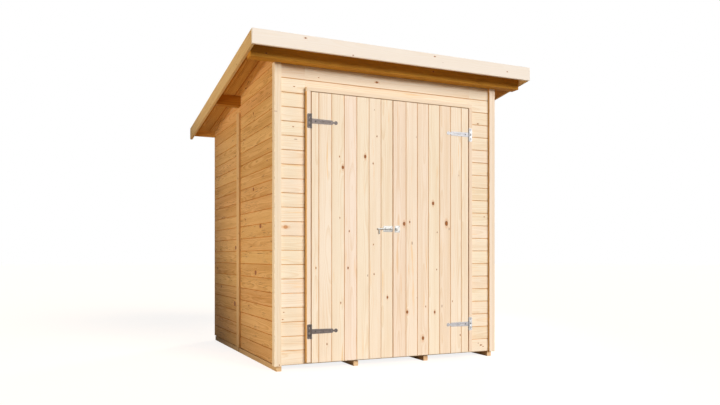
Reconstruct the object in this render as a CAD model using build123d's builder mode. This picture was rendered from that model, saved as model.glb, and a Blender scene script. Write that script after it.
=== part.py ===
from math import radians, tan

from build123d import *
import os

os.makedirs("parts", exist_ok=True)

# Garden shed with a single-slope roof, high side and double doors at the front.
# X runs to the right along the front, the front faces -Y, Z is up.
# The origin is on the ground under the centre of the roof outline. All sizes in mm.

# Walls
wall_width = 1720.0
wall_depth = 1880.0
cladding = 16.0
cladding_bottom = 38.0
stud = 34.0

# Roof: slope to the back, and how far it reaches past the cladding
roof_pitch = 7.4
soffit_height = 2153.0
eave_front = 192.0
eave_side = 218.0
eave_rear = 20.0
roof_board = 16.0
roof_felt_thickness = 2.0
fascia = 20.0
fascia_height = 97.0
barge = 20.0
barge_height = 99.0
edge_rise = 19.5
rear_fascia_drop = 50.0

# Purlins run from barge board to barge board
front_purlin_depth = 80.0
front_purlin_drop = 102.0
middle_purlin_depth = 75.0
middle_purlin_drop = 80.0
middle_purlin_setback = 970.0

# Floor
bearer_width = 36.0
bearer_height = 36.0
bearer_count = 4
bearer_front_inset = 2.0
bearer_rear_inset = 34.0
floor_board = 16.0

# Corner boards and the strip over the joint in each side wall
trim_thickness = 20.0
side_corner_reach = 30.0
front_corner_width = 29.0
trim_bottom = 36.5
cover_width = 75.0
cover_thickness = 16.0
cover_bottom = 46.0
cover_top_drop = 52.0

# Door frame, proud of the cladding
frame_width = 1320.0
jamb_width = 28.0
frame_proud = 40.0
head_height = 30.0
head_top = 1908.0
sill_height = 13.0

# Door leaves
leaf_gap = 5.0
meeting_gap = 6.0
meeting_shift = -10.0
leaf_bottom = 50.0
leaf_board = 18.0
ledge_thickness = 16.0
ledge_height = 95.0
ledge_inset = 14.0
brace_width = 95.0
sill_clearance = 2.0

# Tee hinges
hinge_low = 260.0
hinge_high = 1677.0
plate_height = 98.0
plate_thickness = 2.2
plate_edge = 2.0
plate_corner = 8.0
knuckle_radius = 4.5
pin_radius = 2.4
pin_clearance = 0.05
pin_head_radius = 3.6
pin_head_height = 1.2
knuckle_gap = 0.4
strap_root = 34.0
strap_end = 29.0
strap_length = 158.0
strap_shoulder = 7.0
neck_height = 14.0
disc_centre = 180.0
disc_radius = 13.0
screw_radius = 2.6
screw_head_radius = 4.4
screw_angle = 90.0
strap_holes = (30.0, 84.0, 134.0)
plate_hole_pitch = 34.0

# Barrel bolt
bolt_height = 960.0
bolt_plate_width = 72.0
bolt_plate_height = 42.0
bolt_plate_thickness = 2.0
bolt_edge = 2.0
bolt_corner = 3.0
rod_radius = 5.0
rod_length = 120.0
rod_float = 0.5
rod_tip = 2.0
rod_set_back = 2.0
staple_wall = 2.0
staple_width = 10.0
staple_clearance = 0.3
staple_first = 14.0
staple_last = 50.0
handle_position = 15.0
handle_radius = 3.5
handle_length = 32.0
handle_knob = 4.6
keeper_width = 39.0
keeper_height = 48.0
keeper_set_back = 11.0
keeper_clearance = 1.5
keeper_wall = 2.5
keeper_staple = 12.0
keeper_staple_inset = 5.0

# Places that follow from the sizes above
slope = tan(radians(roof_pitch))
x_wall = wall_width / 2
x_inside = x_wall - cladding
x_room = x_inside - stud
x_roof = x_wall + eave_side
x_soffit = x_roof - barge
roof_length = eave_front + wall_depth + eave_rear
y_eave = -roof_length / 2
y_front = y_eave + eave_front
y_rear = y_front + wall_depth
y_front_in = y_front + cladding
y_rear_in = y_rear - cladding
y_front_room = y_front_in + stud
y_rear_room = y_rear_in - stud
y_fascia_back = y_eave + fascia
y_roof_end = roof_length / 2
y_middle = y_front + middle_purlin_setback
y_purlin_front = y_middle - middle_purlin_depth / 2
y_purlin_back = y_middle + middle_purlin_depth / 2


def soffit(y):
    return soffit_height - (y - y_front) * slope


floor_top = bearer_height + floor_board
plate_top = floor_top + stud
front_purlin_bottom = soffit_height - front_purlin_drop
middle_purlin_bottom = soffit(y_purlin_front) - middle_purlin_drop
x_frame = frame_width / 2
x_jamb = x_frame - jamb_width
head_bottom = head_top - head_height
leaf_top = head_bottom - leaf_gap
leaf_height = leaf_top - leaf_bottom
y_face = y_front - frame_proud
y_leaf_back = y_face + leaf_board
y_ledge_back = y_leaf_back + ledge_thickness
x_leaf_left = -(x_jamb - leaf_gap)
x_leaf_right = x_jamb - leaf_gap
x_meet_left = meeting_shift - meeting_gap / 2
x_meet_right = meeting_shift + meeting_gap / 2
x_pin = x_jamb - leaf_gap / 2
y_pin = y_face - knuckle_radius
hinge_heights = (hinge_low, hinge_high)
ledge_heights = (hinge_low, (hinge_low + hinge_high) / 2, hinge_high)

# Floor: four bearers run front to back under the boards
with BuildPart() as floor_bearers:
    with BuildSketch(Plane.XY):
        with Locations((0, (y_front + bearer_front_inset + y_rear - bearer_rear_inset) / 2)):
            with GridLocations((wall_width - bearer_width) / (bearer_count - 1), 0, bearer_count, 1):
                Rectangle(bearer_width, wall_depth - bearer_front_inset - bearer_rear_inset)
    extrude(amount=bearer_height)

with BuildPart() as floor_boards:
    with BuildSketch(Plane.XY.offset(bearer_height)):
        with Locations((0, (y_front_in + y_rear_in) / 2)):
            Rectangle(2 * x_inside, y_rear_in - y_front_in)
    extrude(amount=floor_board)

# Front wall: one panel each side of the doorway and one over it, tops cut to the roof slope
with BuildPart() as front_wall_left:
    with BuildSketch(Plane.YZ.offset(-x_wall)):
        with BuildLine():
            Polyline(
                (y_front, cladding_bottom),
                (y_front_in, cladding_bottom),
                (y_front_in, soffit(y_front_in)),
                (y_front, soffit_height),
                close=True,
            )
        make_face()
    extrude(amount=x_wall - x_frame)

with BuildPart() as front_wall_right:
    mirror(front_wall_left.part, about=Plane.YZ)

with BuildPart() as front_wall_header:
    with BuildSketch(Plane.YZ):
        with BuildLine():
            Polyline(
                (y_front, head_top),
                (y_front_in, head_top),
                (y_front_in, soffit(y_front_in)),
                (y_front, soffit_height),
                close=True,
            )
        make_face()
    extrude(amount=x_frame, both=True)

# Side walls: two panels that meet under the middle purlin, each notched for it
with BuildPart() as left_wall_front:
    with BuildSketch(Plane.YZ.offset(-x_wall)):
        with BuildLine():
            Polyline(
                (y_front_in, cladding_bottom),
                (y_middle, cladding_bottom),
                (y_middle, middle_purlin_bottom),
                (y_purlin_front, middle_purlin_bottom),
                (y_purlin_front, soffit(y_purlin_front)),
                (y_front_in, soffit(y_front_in)),
                close=True,
            )
        make_face()
    extrude(amount=cladding)

with BuildPart() as left_wall_rear:
    with BuildSketch(Plane.YZ.offset(-x_wall)):
        with BuildLine():
            Polyline(
                (y_middle, cladding_bottom),
                (y_rear_in, cladding_bottom),
                (y_rear_in, soffit(y_rear_in)),
                (y_purlin_back, soffit(y_purlin_back)),
                (y_purlin_back, middle_purlin_bottom),
                (y_middle, middle_purlin_bottom),
                close=True,
            )
        make_face()
    extrude(amount=cladding)

with BuildPart() as right_wall_front:
    mirror(left_wall_front.part, about=Plane.YZ)

with BuildPart() as right_wall_rear:
    mirror(left_wall_rear.part, about=Plane.YZ)

with BuildPart() as rear_wall:
    with BuildSketch(Plane.YZ):
        with BuildLine():
            Polyline(
                (y_rear_in, cladding_bottom),
                (y_rear, cladding_bottom),
                (y_rear, soffit(y_rear)),
                (y_rear_in, soffit(y_rear_in)),
                close=True,
            )
        make_face()
    extrude(amount=x_wall, both=True)

# Framing inside the cladding: plates at floor and roof, studs between them
with BuildPart() as side_bottom_plates:
    with BuildSketch(Plane.XY.offset(floor_top)):
        with Locations((0, (y_front_in + y_rear_in) / 2)):
            with GridLocations(2 * x_inside - stud, 0, 2, 1):
                Rectangle(stud, y_rear_in - y_front_in)
    extrude(amount=stud)

with BuildPart() as cross_bottom_plates:
    with BuildSketch(Plane.XY.offset(floor_top)):
        with Locations((0, y_front_in + stud / 2)):
            with GridLocations(x_room + x_frame, 0, 2, 1):
                Rectangle(x_room - x_frame, stud)
        with Locations((0, y_rear_in - stud / 2)):
            Rectangle(2 * x_room, stud)
    extrude(amount=stud)

with BuildPart() as side_top_plates:
    with BuildSketch(Plane.YZ.offset(-x_inside)):
        with BuildLine():
            Polyline(
                (y_front_in, soffit(y_front_in) - stud),
                (y_purlin_front, soffit(y_purlin_front) - stud),
                (y_purlin_front, soffit(y_purlin_front)),
                (y_front_in, soffit(y_front_in)),
                close=True,
            )
        make_face()
        with BuildLine():
            Polyline(
                (y_purlin_back, soffit(y_purlin_back) - stud),
                (y_rear_in, soffit(y_rear_in) - stud),
                (y_rear_in, soffit(y_rear_in)),
                (y_purlin_back, soffit(y_purlin_back)),
                close=True,
            )
        make_face()
    extrude(amount=stud)
    mirror(about=Plane.YZ)

with BuildPart() as cross_top_plates:
    with BuildSketch(Plane.YZ):
        with BuildLine():
            Polyline(
                (y_front_in, soffit(y_front_in) - stud),
                (y_front_room, soffit(y_front_room) - stud),
                (y_front_room, soffit(y_front_room)),
                (y_front_in, soffit(y_front_in)),
                close=True,
            )
        make_face()
        with BuildLine():
            Polyline(
                (y_rear_room, soffit(y_rear_room) - stud),
                (y_rear_in, soffit(y_rear_in) - stud),
                (y_rear_in, soffit(y_rear_in)),
                (y_rear_room, soffit(y_rear_room)),
                close=True,
            )
        make_face()
    extrude(amount=x_room, both=True)

with BuildPart() as corner_posts:
    with BuildSketch(Plane.YZ.offset(-x_inside)):
        with BuildLine():
            Polyline(
                (y_front_in, plate_top),
                (y_front_room, plate_top),
                (y_front_room, soffit(y_front_room) - stud),
                (y_front_in, soffit(y_front_in) - stud),
                close=True,
            )
        make_face()
        with BuildLine():
            Polyline(
                (y_rear_room, plate_top),
                (y_rear_in, plate_top),
                (y_rear_in, soffit(y_rear_in) - stud),
                (y_rear_room, soffit(y_rear_room) - stud),
                close=True,
            )
        make_face()
    extrude(amount=stud)
    mirror(about=Plane.YZ)

y_bay_front = (y_front_room + y_purlin_front) / 2
y_bay_rear = (y_purlin_back + y_rear_room) / 2

with BuildPart() as side_studs:
    with BuildSketch(Plane.YZ.offset(-x_inside)):
        with BuildLine():
            Polyline(
                (y_bay_front - stud / 2, plate_top),
                (y_bay_front + stud / 2, plate_top),
                (y_bay_front + stud / 2, soffit(y_bay_front + stud / 2) - stud),
                (y_bay_front - stud / 2, soffit(y_bay_front - stud / 2) - stud),
                close=True,
            )
        make_face()
        with BuildLine():
            Polyline(
                (y_bay_rear - stud / 2, plate_top),
                (y_bay_rear + stud / 2, plate_top),
                (y_bay_rear + stud / 2, soffit(y_bay_rear + stud / 2) - stud),
                (y_bay_rear - stud / 2, soffit(y_bay_rear - stud / 2) - stud),
                close=True,
            )
        make_face()
        with Locations((y_middle, (plate_top + middle_purlin_bottom) / 2)):
            Rectangle(middle_purlin_depth, middle_purlin_bottom - plate_top)
    extrude(amount=stud)
    mirror(about=Plane.YZ)

with BuildPart() as rear_studs:
    with BuildSketch(Plane.XY.offset(plate_top)):
        with Locations((0, y_rear_in - stud / 2)):
            with GridLocations(x_room / 1.5, 0, 2, 1):
                Rectangle(stud, stud)
    extrude(amount=soffit(y_rear_in) - stud - plate_top)

# Corner boards: a board on the side wall laps the strip on the front wall
with BuildPart() as side_corner_boards:
    with BuildSketch(Plane.XY.offset(trim_bottom)):
        with Locations((0, y_front + (side_corner_reach - trim_thickness) / 2)):
            with GridLocations(wall_width + trim_thickness, 0, 2, 1):
                Rectangle(trim_thickness, trim_thickness + side_corner_reach)
    extrude(amount=front_purlin_bottom - trim_bottom)

with BuildPart() as front_corner_strips:
    with BuildSketch(Plane.XY.offset(trim_bottom)):
        with Locations((0, y_front - trim_thickness / 2)):
            with GridLocations(wall_width - front_corner_width, 0, 2, 1):
                Rectangle(front_corner_width, trim_thickness)
    extrude(amount=front_purlin_bottom - trim_bottom)

with BuildPart() as side_cover_strips:
    with BuildSketch(Plane.XY.offset(cover_bottom)):
        with Locations((0, y_middle)):
            with GridLocations(wall_width + cover_thickness, 0, 2, 1):
                Rectangle(cover_thickness, cover_width)
    extrude(amount=middle_purlin_bottom - cover_top_drop - cover_bottom)

# Door frame: jambs through the wall, head over them, low sill in front of the floor
with BuildPart() as door_jambs:
    with BuildSketch(Plane.XY.offset(floor_top)):
        with Locations((0, (y_face + y_front_room) / 2)):
            with GridLocations(frame_width - jamb_width, 0, 2, 1):
                Rectangle(jamb_width, y_front_room - y_face)
    extrude(amount=head_bottom - floor_top)

with BuildPart() as door_head:
    with BuildSketch(Plane.XY.offset(head_bottom)):
        with Locations((0, (y_face + y_front) / 2)):
            Rectangle(frame_width, frame_proud)
        with Locations((0, (y_front + y_front_room) / 2)):
            Rectangle(frame_width, y_front_room - y_front)
    extrude(amount=head_height)

with BuildPart() as door_sill:
    with BuildSketch(Plane.XY.offset(floor_top - sill_height)):
        with Locations((0, (y_front + sill_clearance + y_front_in) / 2)):
            Rectangle(frame_width, cladding - sill_clearance)
    extrude(amount=sill_height)

# Purlins
with BuildPart() as front_purlin:
    with BuildSketch(Plane.YZ):
        with BuildLine():
            Polyline(
                (y_front - front_purlin_depth, front_purlin_bottom),
                (y_front, front_purlin_bottom),
                (y_front, soffit_height),
                (y_front - front_purlin_depth, soffit(y_front - front_purlin_depth)),
                close=True,
            )
        make_face()
    extrude(amount=x_soffit, both=True)

with BuildPart() as middle_purlin:
    with BuildSketch(Plane.YZ):
        with BuildLine():
            Polyline(
                (y_purlin_front, middle_purlin_bottom),
                (y_purlin_back, middle_purlin_bottom),
                (y_purlin_back, soffit(y_purlin_back)),
                (y_purlin_front, soffit(y_purlin_front)),
                close=True,
            )
        make_face()
    extrude(amount=x_soffit, both=True)

# Roof boards with the felt on them, lying between the edge boards
y_rear_fascia = y_roof_end - fascia

with BuildPart() as roof_boards:
    with BuildSketch(Plane.YZ):
        with BuildLine():
            Polyline(
                (y_fascia_back, soffit(y_fascia_back)),
                (y_rear_fascia, soffit(y_rear_fascia)),
                (y_rear_fascia, soffit(y_rear_fascia) + roof_board),
                (y_fascia_back, soffit(y_fascia_back) + roof_board),
                close=True,
            )
        make_face()
    extrude(amount=x_soffit, both=True)

with BuildPart() as roof_felt:
    with BuildSketch(Plane.YZ):
        with BuildLine():
            Polyline(
                (y_fascia_back, soffit(y_fascia_back) + roof_board),
                (y_rear_fascia, soffit(y_rear_fascia) + roof_board),
                (y_rear_fascia, soffit(y_rear_fascia) + roof_board + roof_felt_thickness),
                (y_fascia_back, soffit(y_fascia_back) + roof_board + roof_felt_thickness),
                close=True,
            )
        make_face()
    extrude(amount=x_soffit, both=True)

with BuildPart() as front_fascia:
    with BuildSketch(Plane.XY.offset(soffit(y_fascia_back) + edge_rise - fascia_height)):
        with Locations((0, y_eave + fascia / 2)):
            Rectangle(2 * x_roof, fascia)
    extrude(amount=fascia_height)

with BuildPart() as rear_fascia:
    with BuildSketch(Plane.XY.offset(soffit(y_rear_fascia) - rear_fascia_drop)):
        with Locations((0, y_roof_end - fascia / 2)):
            Rectangle(2 * x_soffit, fascia)
    extrude(amount=rear_fascia_drop + roof_board)

with BuildPart() as barge_boards:
    with BuildSketch(Plane.YZ.offset(-x_roof)):
        with BuildLine():
            Polyline(
                (y_fascia_back, soffit(y_fascia_back) + edge_rise - barge_height),
                (y_roof_end, soffit(y_roof_end) + edge_rise - barge_height),
                (y_roof_end, soffit(y_roof_end) + edge_rise),
                (y_fascia_back, soffit(y_fascia_back) + edge_rise),
                close=True,
            )
        make_face()
    extrude(amount=barge)
    mirror(about=Plane.YZ)

# Door leaves: a boarded face with ledges and braces on its back
with BuildPart() as left_door_boards:
    with BuildSketch(Plane.XZ.offset(-y_leaf_back)):
        with Locations(((x_leaf_left + x_meet_left) / 2, leaf_bottom + leaf_height / 2)):
            Rectangle(x_meet_left - x_leaf_left, leaf_height)
    extrude(amount=leaf_board)

with BuildPart() as right_door_boards:
    with BuildSketch(Plane.XZ.offset(-y_leaf_back)):
        with Locations(((x_leaf_right + x_meet_right) / 2, leaf_bottom + leaf_height / 2)):
            Rectangle(x_leaf_right - x_meet_right, leaf_height)
    extrude(amount=leaf_board)

with BuildPart() as left_door_ledges:
    with BuildSketch(Plane.XZ.offset(-y_ledge_back)):
        for height in ledge_heights:
            with Locations(((x_leaf_left + x_meet_left) / 2, height)):
                Rectangle(x_meet_left - x_leaf_left - 2 * ledge_inset, ledge_height)
    extrude(amount=ledge_thickness)

with BuildPart() as right_door_ledges:
    with BuildSketch(Plane.XZ.offset(-y_ledge_back)):
        for height in ledge_heights:
            with Locations(((x_leaf_right + x_meet_right) / 2, height)):
                Rectangle(x_leaf_right - x_meet_right - 2 * ledge_inset, ledge_height)
    extrude(amount=ledge_thickness)

with BuildPart() as left_door_braces:
    with BuildSketch(Plane.XZ.offset(-y_ledge_back)):
        for lower, upper in zip(ledge_heights, ledge_heights[1:]):
            with BuildLine():
                Polyline(
                    (x_leaf_left + ledge_inset, lower + ledge_height / 2),
                    (x_leaf_left + ledge_inset + brace_width, lower + ledge_height / 2),
                    (x_meet_left - ledge_inset, upper - ledge_height / 2),
                    (x_meet_left - ledge_inset - brace_width, upper - ledge_height / 2),
                    close=True,
                )
            make_face()
    extrude(amount=ledge_thickness)

with BuildPart() as right_door_braces:
    with BuildSketch(Plane.XZ.offset(-y_ledge_back)):
        for lower, upper in zip(ledge_heights, ledge_heights[1:]):
            with BuildLine():
                Polyline(
                    (x_leaf_right - ledge_inset, lower + ledge_height / 2),
                    (x_leaf_right - ledge_inset - brace_width, lower + ledge_height / 2),
                    (x_meet_right + ledge_inset, upper - ledge_height / 2),
                    (x_meet_right + ledge_inset + brace_width, upper - ledge_height / 2),
                    close=True,
                )
            make_face()
    extrude(amount=ledge_thickness)

# Tee hinges. The plate on the jamb carries two knuckles and the pin,
# the strap on the leaf has the knuckle between them.
fixed_knuckle = (plate_height - strap_root) / 2
plate_reach = x_frame - plate_edge - x_pin
plate_relief = knuckle_radius + knuckle_gap

with BuildPart() as right_hinge_plates:
    with BuildSketch(Plane.XZ.offset(-y_face)) as plate_outline:
        for height in hinge_heights:
            with Locations((x_pin + plate_reach / 2, height)):
                Rectangle(plate_reach, plate_height)
        fillet(plate_outline.vertices().group_by(Axis.X)[-1], plate_corner)
        for height in hinge_heights:
            with Locations((x_pin + plate_relief / 2, height)):
                Rectangle(plate_relief, strap_root, mode=Mode.SUBTRACT)
    extrude(amount=plate_thickness)
    for height in hinge_heights:
        with BuildSketch(Plane.XY.offset(height - plate_height / 2)):
            with Locations((x_pin, y_pin)):
                Circle(knuckle_radius)
        extrude(amount=fixed_knuckle)
        with BuildSketch(Plane.XY.offset(height + strap_root / 2)):
            with Locations((x_pin, y_pin)):
                Circle(knuckle_radius)
        extrude(amount=fixed_knuckle)
        with BuildSketch(Plane.XY.offset(height - plate_height / 2)):
            with Locations((x_pin, y_pin)):
                Circle(pin_radius)
        extrude(amount=plate_height)
        with BuildSketch(Plane.XY.offset(height + plate_height / 2)):
            with Locations((x_pin, y_pin)):
                Circle(pin_head_radius)
        extrude(amount=pin_head_height)
        with Locations(Plane.XZ.offset(plate_thickness - y_face)):
            with Locations((x_pin + (plate_reach + plate_relief) / 2, height)):
                with GridLocations(0, plate_hole_pitch, 1, 3):
                    CounterSinkHole(screw_radius, screw_head_radius, plate_thickness, screw_angle)

with BuildPart() as left_hinge_plates:
    mirror(right_hinge_plates.part, about=Plane.YZ)

strap_knuckle = strap_root - 2 * knuckle_gap

with BuildPart() as left_hinge_straps:
    for height in hinge_heights:
        with BuildSketch(Plane.XZ.offset(-y_face)) as strap_outline:
            with BuildLine():
                Polyline(
                    (-x_pin, height - strap_knuckle / 2),
                    (-x_pin + strap_length, height - strap_end / 2),
                    (-x_pin + strap_length, height + strap_end / 2),
                    (-x_pin, height + strap_knuckle / 2),
                    close=True,
                )
            make_face()
            fillet(strap_outline.vertices().group_by(Axis.X)[-1], strap_shoulder)
            with Locations((-x_pin + (strap_length + disc_centre) / 2, height)):
                Rectangle(disc_centre - strap_length, neck_height)
            with Locations((-x_pin + disc_centre, height)):
                Circle(disc_radius)
        extrude(amount=plate_thickness)
        with BuildSketch(Plane.XY.offset(height - strap_knuckle / 2)):
            with Locations((-x_pin, y_pin)):
                Circle(knuckle_radius)
        extrude(amount=strap_knuckle)
        with BuildSketch(Plane.XY.offset(height - strap_knuckle / 2)):
            with Locations((-x_pin, y_pin)):
                Circle(pin_radius + pin_clearance)
        extrude(amount=strap_knuckle, mode=Mode.SUBTRACT)
        with Locations(Plane.XZ.offset(plate_thickness - y_face)):
            for reach in (*strap_holes, disc_centre):
                with Locations((-x_pin + reach, height)):
                    CounterSinkHole(screw_radius, screw_head_radius, plate_thickness, screw_angle)

with BuildPart() as right_hinge_straps:
    mirror(left_hinge_straps.part, about=Plane.YZ)

# Barrel bolt on the left leaf, drawn back at rest, with its keeper on the right leaf
y_plate_front = y_face - bolt_plate_thickness
y_rod = y_plate_front - rod_float - rod_radius
x_bolt_right = x_meet_left - bolt_edge
x_bolt_left = x_bolt_right - bolt_plate_width
staple_bore = rod_radius + staple_clearance
staple_outer = staple_bore + staple_wall
staple_reach = y_plate_front - y_rod + staple_outer

with BuildPart() as bolt_plate:
    with BuildSketch(Plane.XZ.offset(-y_face)):
        with Locations(((x_bolt_left + x_bolt_right) / 2, bolt_height)):
            RectangleRounded(bolt_plate_width, bolt_plate_height, bolt_corner)
    extrude(amount=bolt_plate_thickness)
    for reach in (staple_first, staple_last):
        with BuildSketch(Plane.YZ.offset(x_bolt_left + reach)):
            with Locations((y_rod, bolt_height)):
                Circle(staple_outer)
            with Locations(((y_rod + y_plate_front) / 2, bolt_height)):
                Rectangle(y_plate_front - y_rod, 2 * staple_outer)
            with Locations((y_rod, bolt_height)):
                Circle(staple_bore, mode=Mode.SUBTRACT)
            with Locations((y_plate_front, bolt_height)):
                Rectangle(staple_reach, 2 * staple_outer, align=(Align.MAX, Align.CENTER), mode=Mode.INTERSECT)
        extrude(amount=staple_width)

x_rod_tip = x_meet_left - rod_set_back
x_rod_tail = x_rod_tip - rod_length

with BuildPart() as bolt_rod:
    with BuildSketch(Plane.YZ.offset(x_rod_tail)):
        with Locations((y_rod, bolt_height)):
            Circle(rod_radius)
    extrude(amount=rod_length)
    chamfer(bolt_rod.faces().sort_by(Axis.X)[-1].edges(), rod_tip)
    with BuildSketch(Plane.XY.offset(bolt_height - handle_length)):
        with Locations((x_rod_tail + handle_position, y_rod)):
            Circle(handle_radius)
    extrude(amount=handle_length)
    with Locations((x_rod_tail + handle_position, y_rod, bolt_height - handle_length)):
        Sphere(handle_knob)

x_keeper = x_meet_right + keeper_set_back
keeper_bore = rod_radius + keeper_clearance
keeper_outer = keeper_bore + keeper_wall
keeper_reach = y_plate_front - y_rod + keeper_outer

with BuildPart() as bolt_keeper:
    with BuildSketch(Plane.XZ.offset(-y_face)):
        with Locations((x_keeper + keeper_width / 2, bolt_height)):
            RectangleRounded(keeper_width, keeper_height, bolt_corner)
    extrude(amount=bolt_plate_thickness)
    with BuildSketch(Plane.YZ.offset(x_keeper + keeper_staple_inset)):
        with Locations((y_rod, bolt_height)):
            Circle(keeper_outer)
        with Locations(((y_rod + y_plate_front) / 2, bolt_height)):
            Rectangle(y_plate_front - y_rod, 2 * keeper_outer)
        with Locations((y_rod, bolt_height)):
            Circle(keeper_bore, mode=Mode.SUBTRACT)
        with Locations((y_plate_front, bolt_height)):
            Rectangle(keeper_reach, 2 * keeper_outer, align=(Align.MAX, Align.CENTER), mode=Mode.INTERSECT)
    extrude(amount=keeper_staple)

pieces = {
    "floor_bearers": floor_bearers,
    "floor_boards": floor_boards,
    "front_wall_left": front_wall_left,
    "front_wall_right": front_wall_right,
    "front_wall_header": front_wall_header,
    "left_wall_front": left_wall_front,
    "left_wall_rear": left_wall_rear,
    "right_wall_front": right_wall_front,
    "right_wall_rear": right_wall_rear,
    "rear_wall": rear_wall,
    "side_bottom_plates": side_bottom_plates,
    "cross_bottom_plates": cross_bottom_plates,
    "side_top_plates": side_top_plates,
    "cross_top_plates": cross_top_plates,
    "corner_posts": corner_posts,
    "side_studs": side_studs,
    "rear_studs": rear_studs,
    "side_corner_boards": side_corner_boards,
    "front_corner_strips": front_corner_strips,
    "side_cover_strips": side_cover_strips,
    "door_jambs": door_jambs,
    "door_head": door_head,
    "door_sill": door_sill,
    "front_purlin": front_purlin,
    "middle_purlin": middle_purlin,
    "roof_boards": roof_boards,
    "roof_felt": roof_felt,
    "front_fascia": front_fascia,
    "rear_fascia": rear_fascia,
    "barge_boards": barge_boards,
    "left_hinge_plates": left_hinge_plates,
    "right_hinge_plates": right_hinge_plates,
    "left_door_boards": left_door_boards,
    "left_door_ledges": left_door_ledges,
    "left_door_braces": left_door_braces,
    "left_hinge_straps": left_hinge_straps,
    "bolt_plate": bolt_plate,
    "right_door_boards": right_door_boards,
    "right_door_ledges": right_door_ledges,
    "right_door_braces": right_door_braces,
    "right_hinge_straps": right_hinge_straps,
    "bolt_keeper": bolt_keeper,
    "bolt_rod": bolt_rod,
}

for name, piece in pieces.items():
    piece.part.label = name
    export_step(piece.part, f"parts/{name}.step")
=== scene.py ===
"""The looks of a wooden garden shed: boarded walls, doors, roof and floor, fittings and a plain studio."""

import math
import random

import bmesh
import bpy
from bpy.props import FloatProperty, FloatVectorProperty, IntProperty, PointerProperty
from mathutils import Matrix, Vector


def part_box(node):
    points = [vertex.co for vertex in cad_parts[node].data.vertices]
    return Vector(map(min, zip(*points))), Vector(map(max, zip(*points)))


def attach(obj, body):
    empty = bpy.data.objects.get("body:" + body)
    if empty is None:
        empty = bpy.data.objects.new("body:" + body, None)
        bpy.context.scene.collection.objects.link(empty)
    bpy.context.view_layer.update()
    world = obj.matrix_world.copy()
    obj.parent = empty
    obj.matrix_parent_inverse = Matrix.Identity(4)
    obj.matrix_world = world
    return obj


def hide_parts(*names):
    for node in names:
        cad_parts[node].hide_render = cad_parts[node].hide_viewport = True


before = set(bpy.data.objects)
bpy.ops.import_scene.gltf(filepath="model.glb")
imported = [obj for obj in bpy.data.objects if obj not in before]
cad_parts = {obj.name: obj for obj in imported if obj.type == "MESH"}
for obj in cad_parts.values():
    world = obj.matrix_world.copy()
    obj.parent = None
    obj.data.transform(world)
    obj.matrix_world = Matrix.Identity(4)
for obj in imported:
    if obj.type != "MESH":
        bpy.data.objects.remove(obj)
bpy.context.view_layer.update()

bl_info = {
    "name": "Wooden Garden Shed",
    "version": (1, 0, 0),
    "blender": (4, 5, 0),
    "location": "3D View > Sidebar > Garden Shed",
    "description": "Boards, fittings and finishes of a garden shed with a single-slope roof",
    "category": "Object",
}

UP = Vector((0.0, 0.0, 1.0))
TO_FRONT = Vector((0.0, -1.0, 0.0))
TO_REAR = Vector((0.0, 1.0, 0.0))
TO_LEFT = Vector((-1.0, 0.0, 0.0))
TO_RIGHT = Vector((1.0, 0.0, 0.0))

front_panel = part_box("front_wall_left")
header_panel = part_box("front_wall_header")
side_front_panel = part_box("left_wall_front")
side_rear_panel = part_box("left_wall_rear")
rear_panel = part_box("rear_wall")
roof_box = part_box("roof_boards")
felt_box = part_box("roof_felt")
floor_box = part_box("floor_boards")
left_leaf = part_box("left_door_boards")
right_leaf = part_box("right_door_boards")
purlin_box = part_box("middle_purlin")
strip_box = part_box("side_cover_strips")
corner_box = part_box("side_corner_boards")
bolt_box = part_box("bolt_plate")
keeper_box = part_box("bolt_keeper")

FRONT = front_panel[0].y
WALL_SIDE = -front_panel[0].x
SOFFIT_HEIGHT = front_panel[1].z


# ---------------------------------------------------------------- settings


class CladdingSettings(bpy.types.PropertyGroup):
    board_pitch: FloatProperty(
        name="Board pitch", description="Height of one board on the walls", default=0.096, unit="LENGTH"
    )
    first_joint: FloatProperty(
        name="First joint", description="Height of the lowest joint above the ground", default=0.1335, unit="LENGTH"
    )
    groove: FloatProperty(
        name="Groove", description="Width and depth of the chamfer beside each joint", default=0.0032, unit="LENGTH"
    )
    gap: FloatProperty(name="Gap", description="Open line left at each joint", default=0.0020, unit="LENGTH")
    pale: FloatVectorProperty(
        name="Pale wood", description="Early wood of the front boards", default=(0.94, 0.855, 0.735), subtype="COLOR"
    )
    tan: FloatVectorProperty(
        name="Tan wood", description="Late wood of the front boards", default=(0.81, 0.635, 0.44), subtype="COLOR"
    )
    # The side wood is the front wood darkened and warmed: painted shade of the side and rear walls, which face away
    # from the light
    side_pale: FloatVectorProperty(
        name="Pale side wood", description="Early wood of the side boards", default=(0.83, 0.545, 0.26),
        subtype="COLOR",
    )
    side_tan: FloatVectorProperty(
        name="Tan side wood", description="Late wood of the side boards", default=(0.57, 0.305, 0.10), subtype="COLOR"
    )


class DoorSettings(bpy.types.PropertyGroup):
    groove: FloatProperty(
        name="Groove", description="Width and depth of the chamfer beside each joint", default=0.0034, unit="LENGTH"
    )
    gap: FloatProperty(name="Gap", description="Open line left at each joint", default=0.0010, unit="LENGTH")
    pale: FloatVectorProperty(
        name="Pale wood", description="Early wood of the door boards", default=(0.95, 0.85, 0.74), subtype="COLOR"
    )
    tan: FloatVectorProperty(
        name="Tan wood", description="Late wood of the door boards", default=(0.82, 0.64, 0.445), subtype="COLOR"
    )


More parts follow.
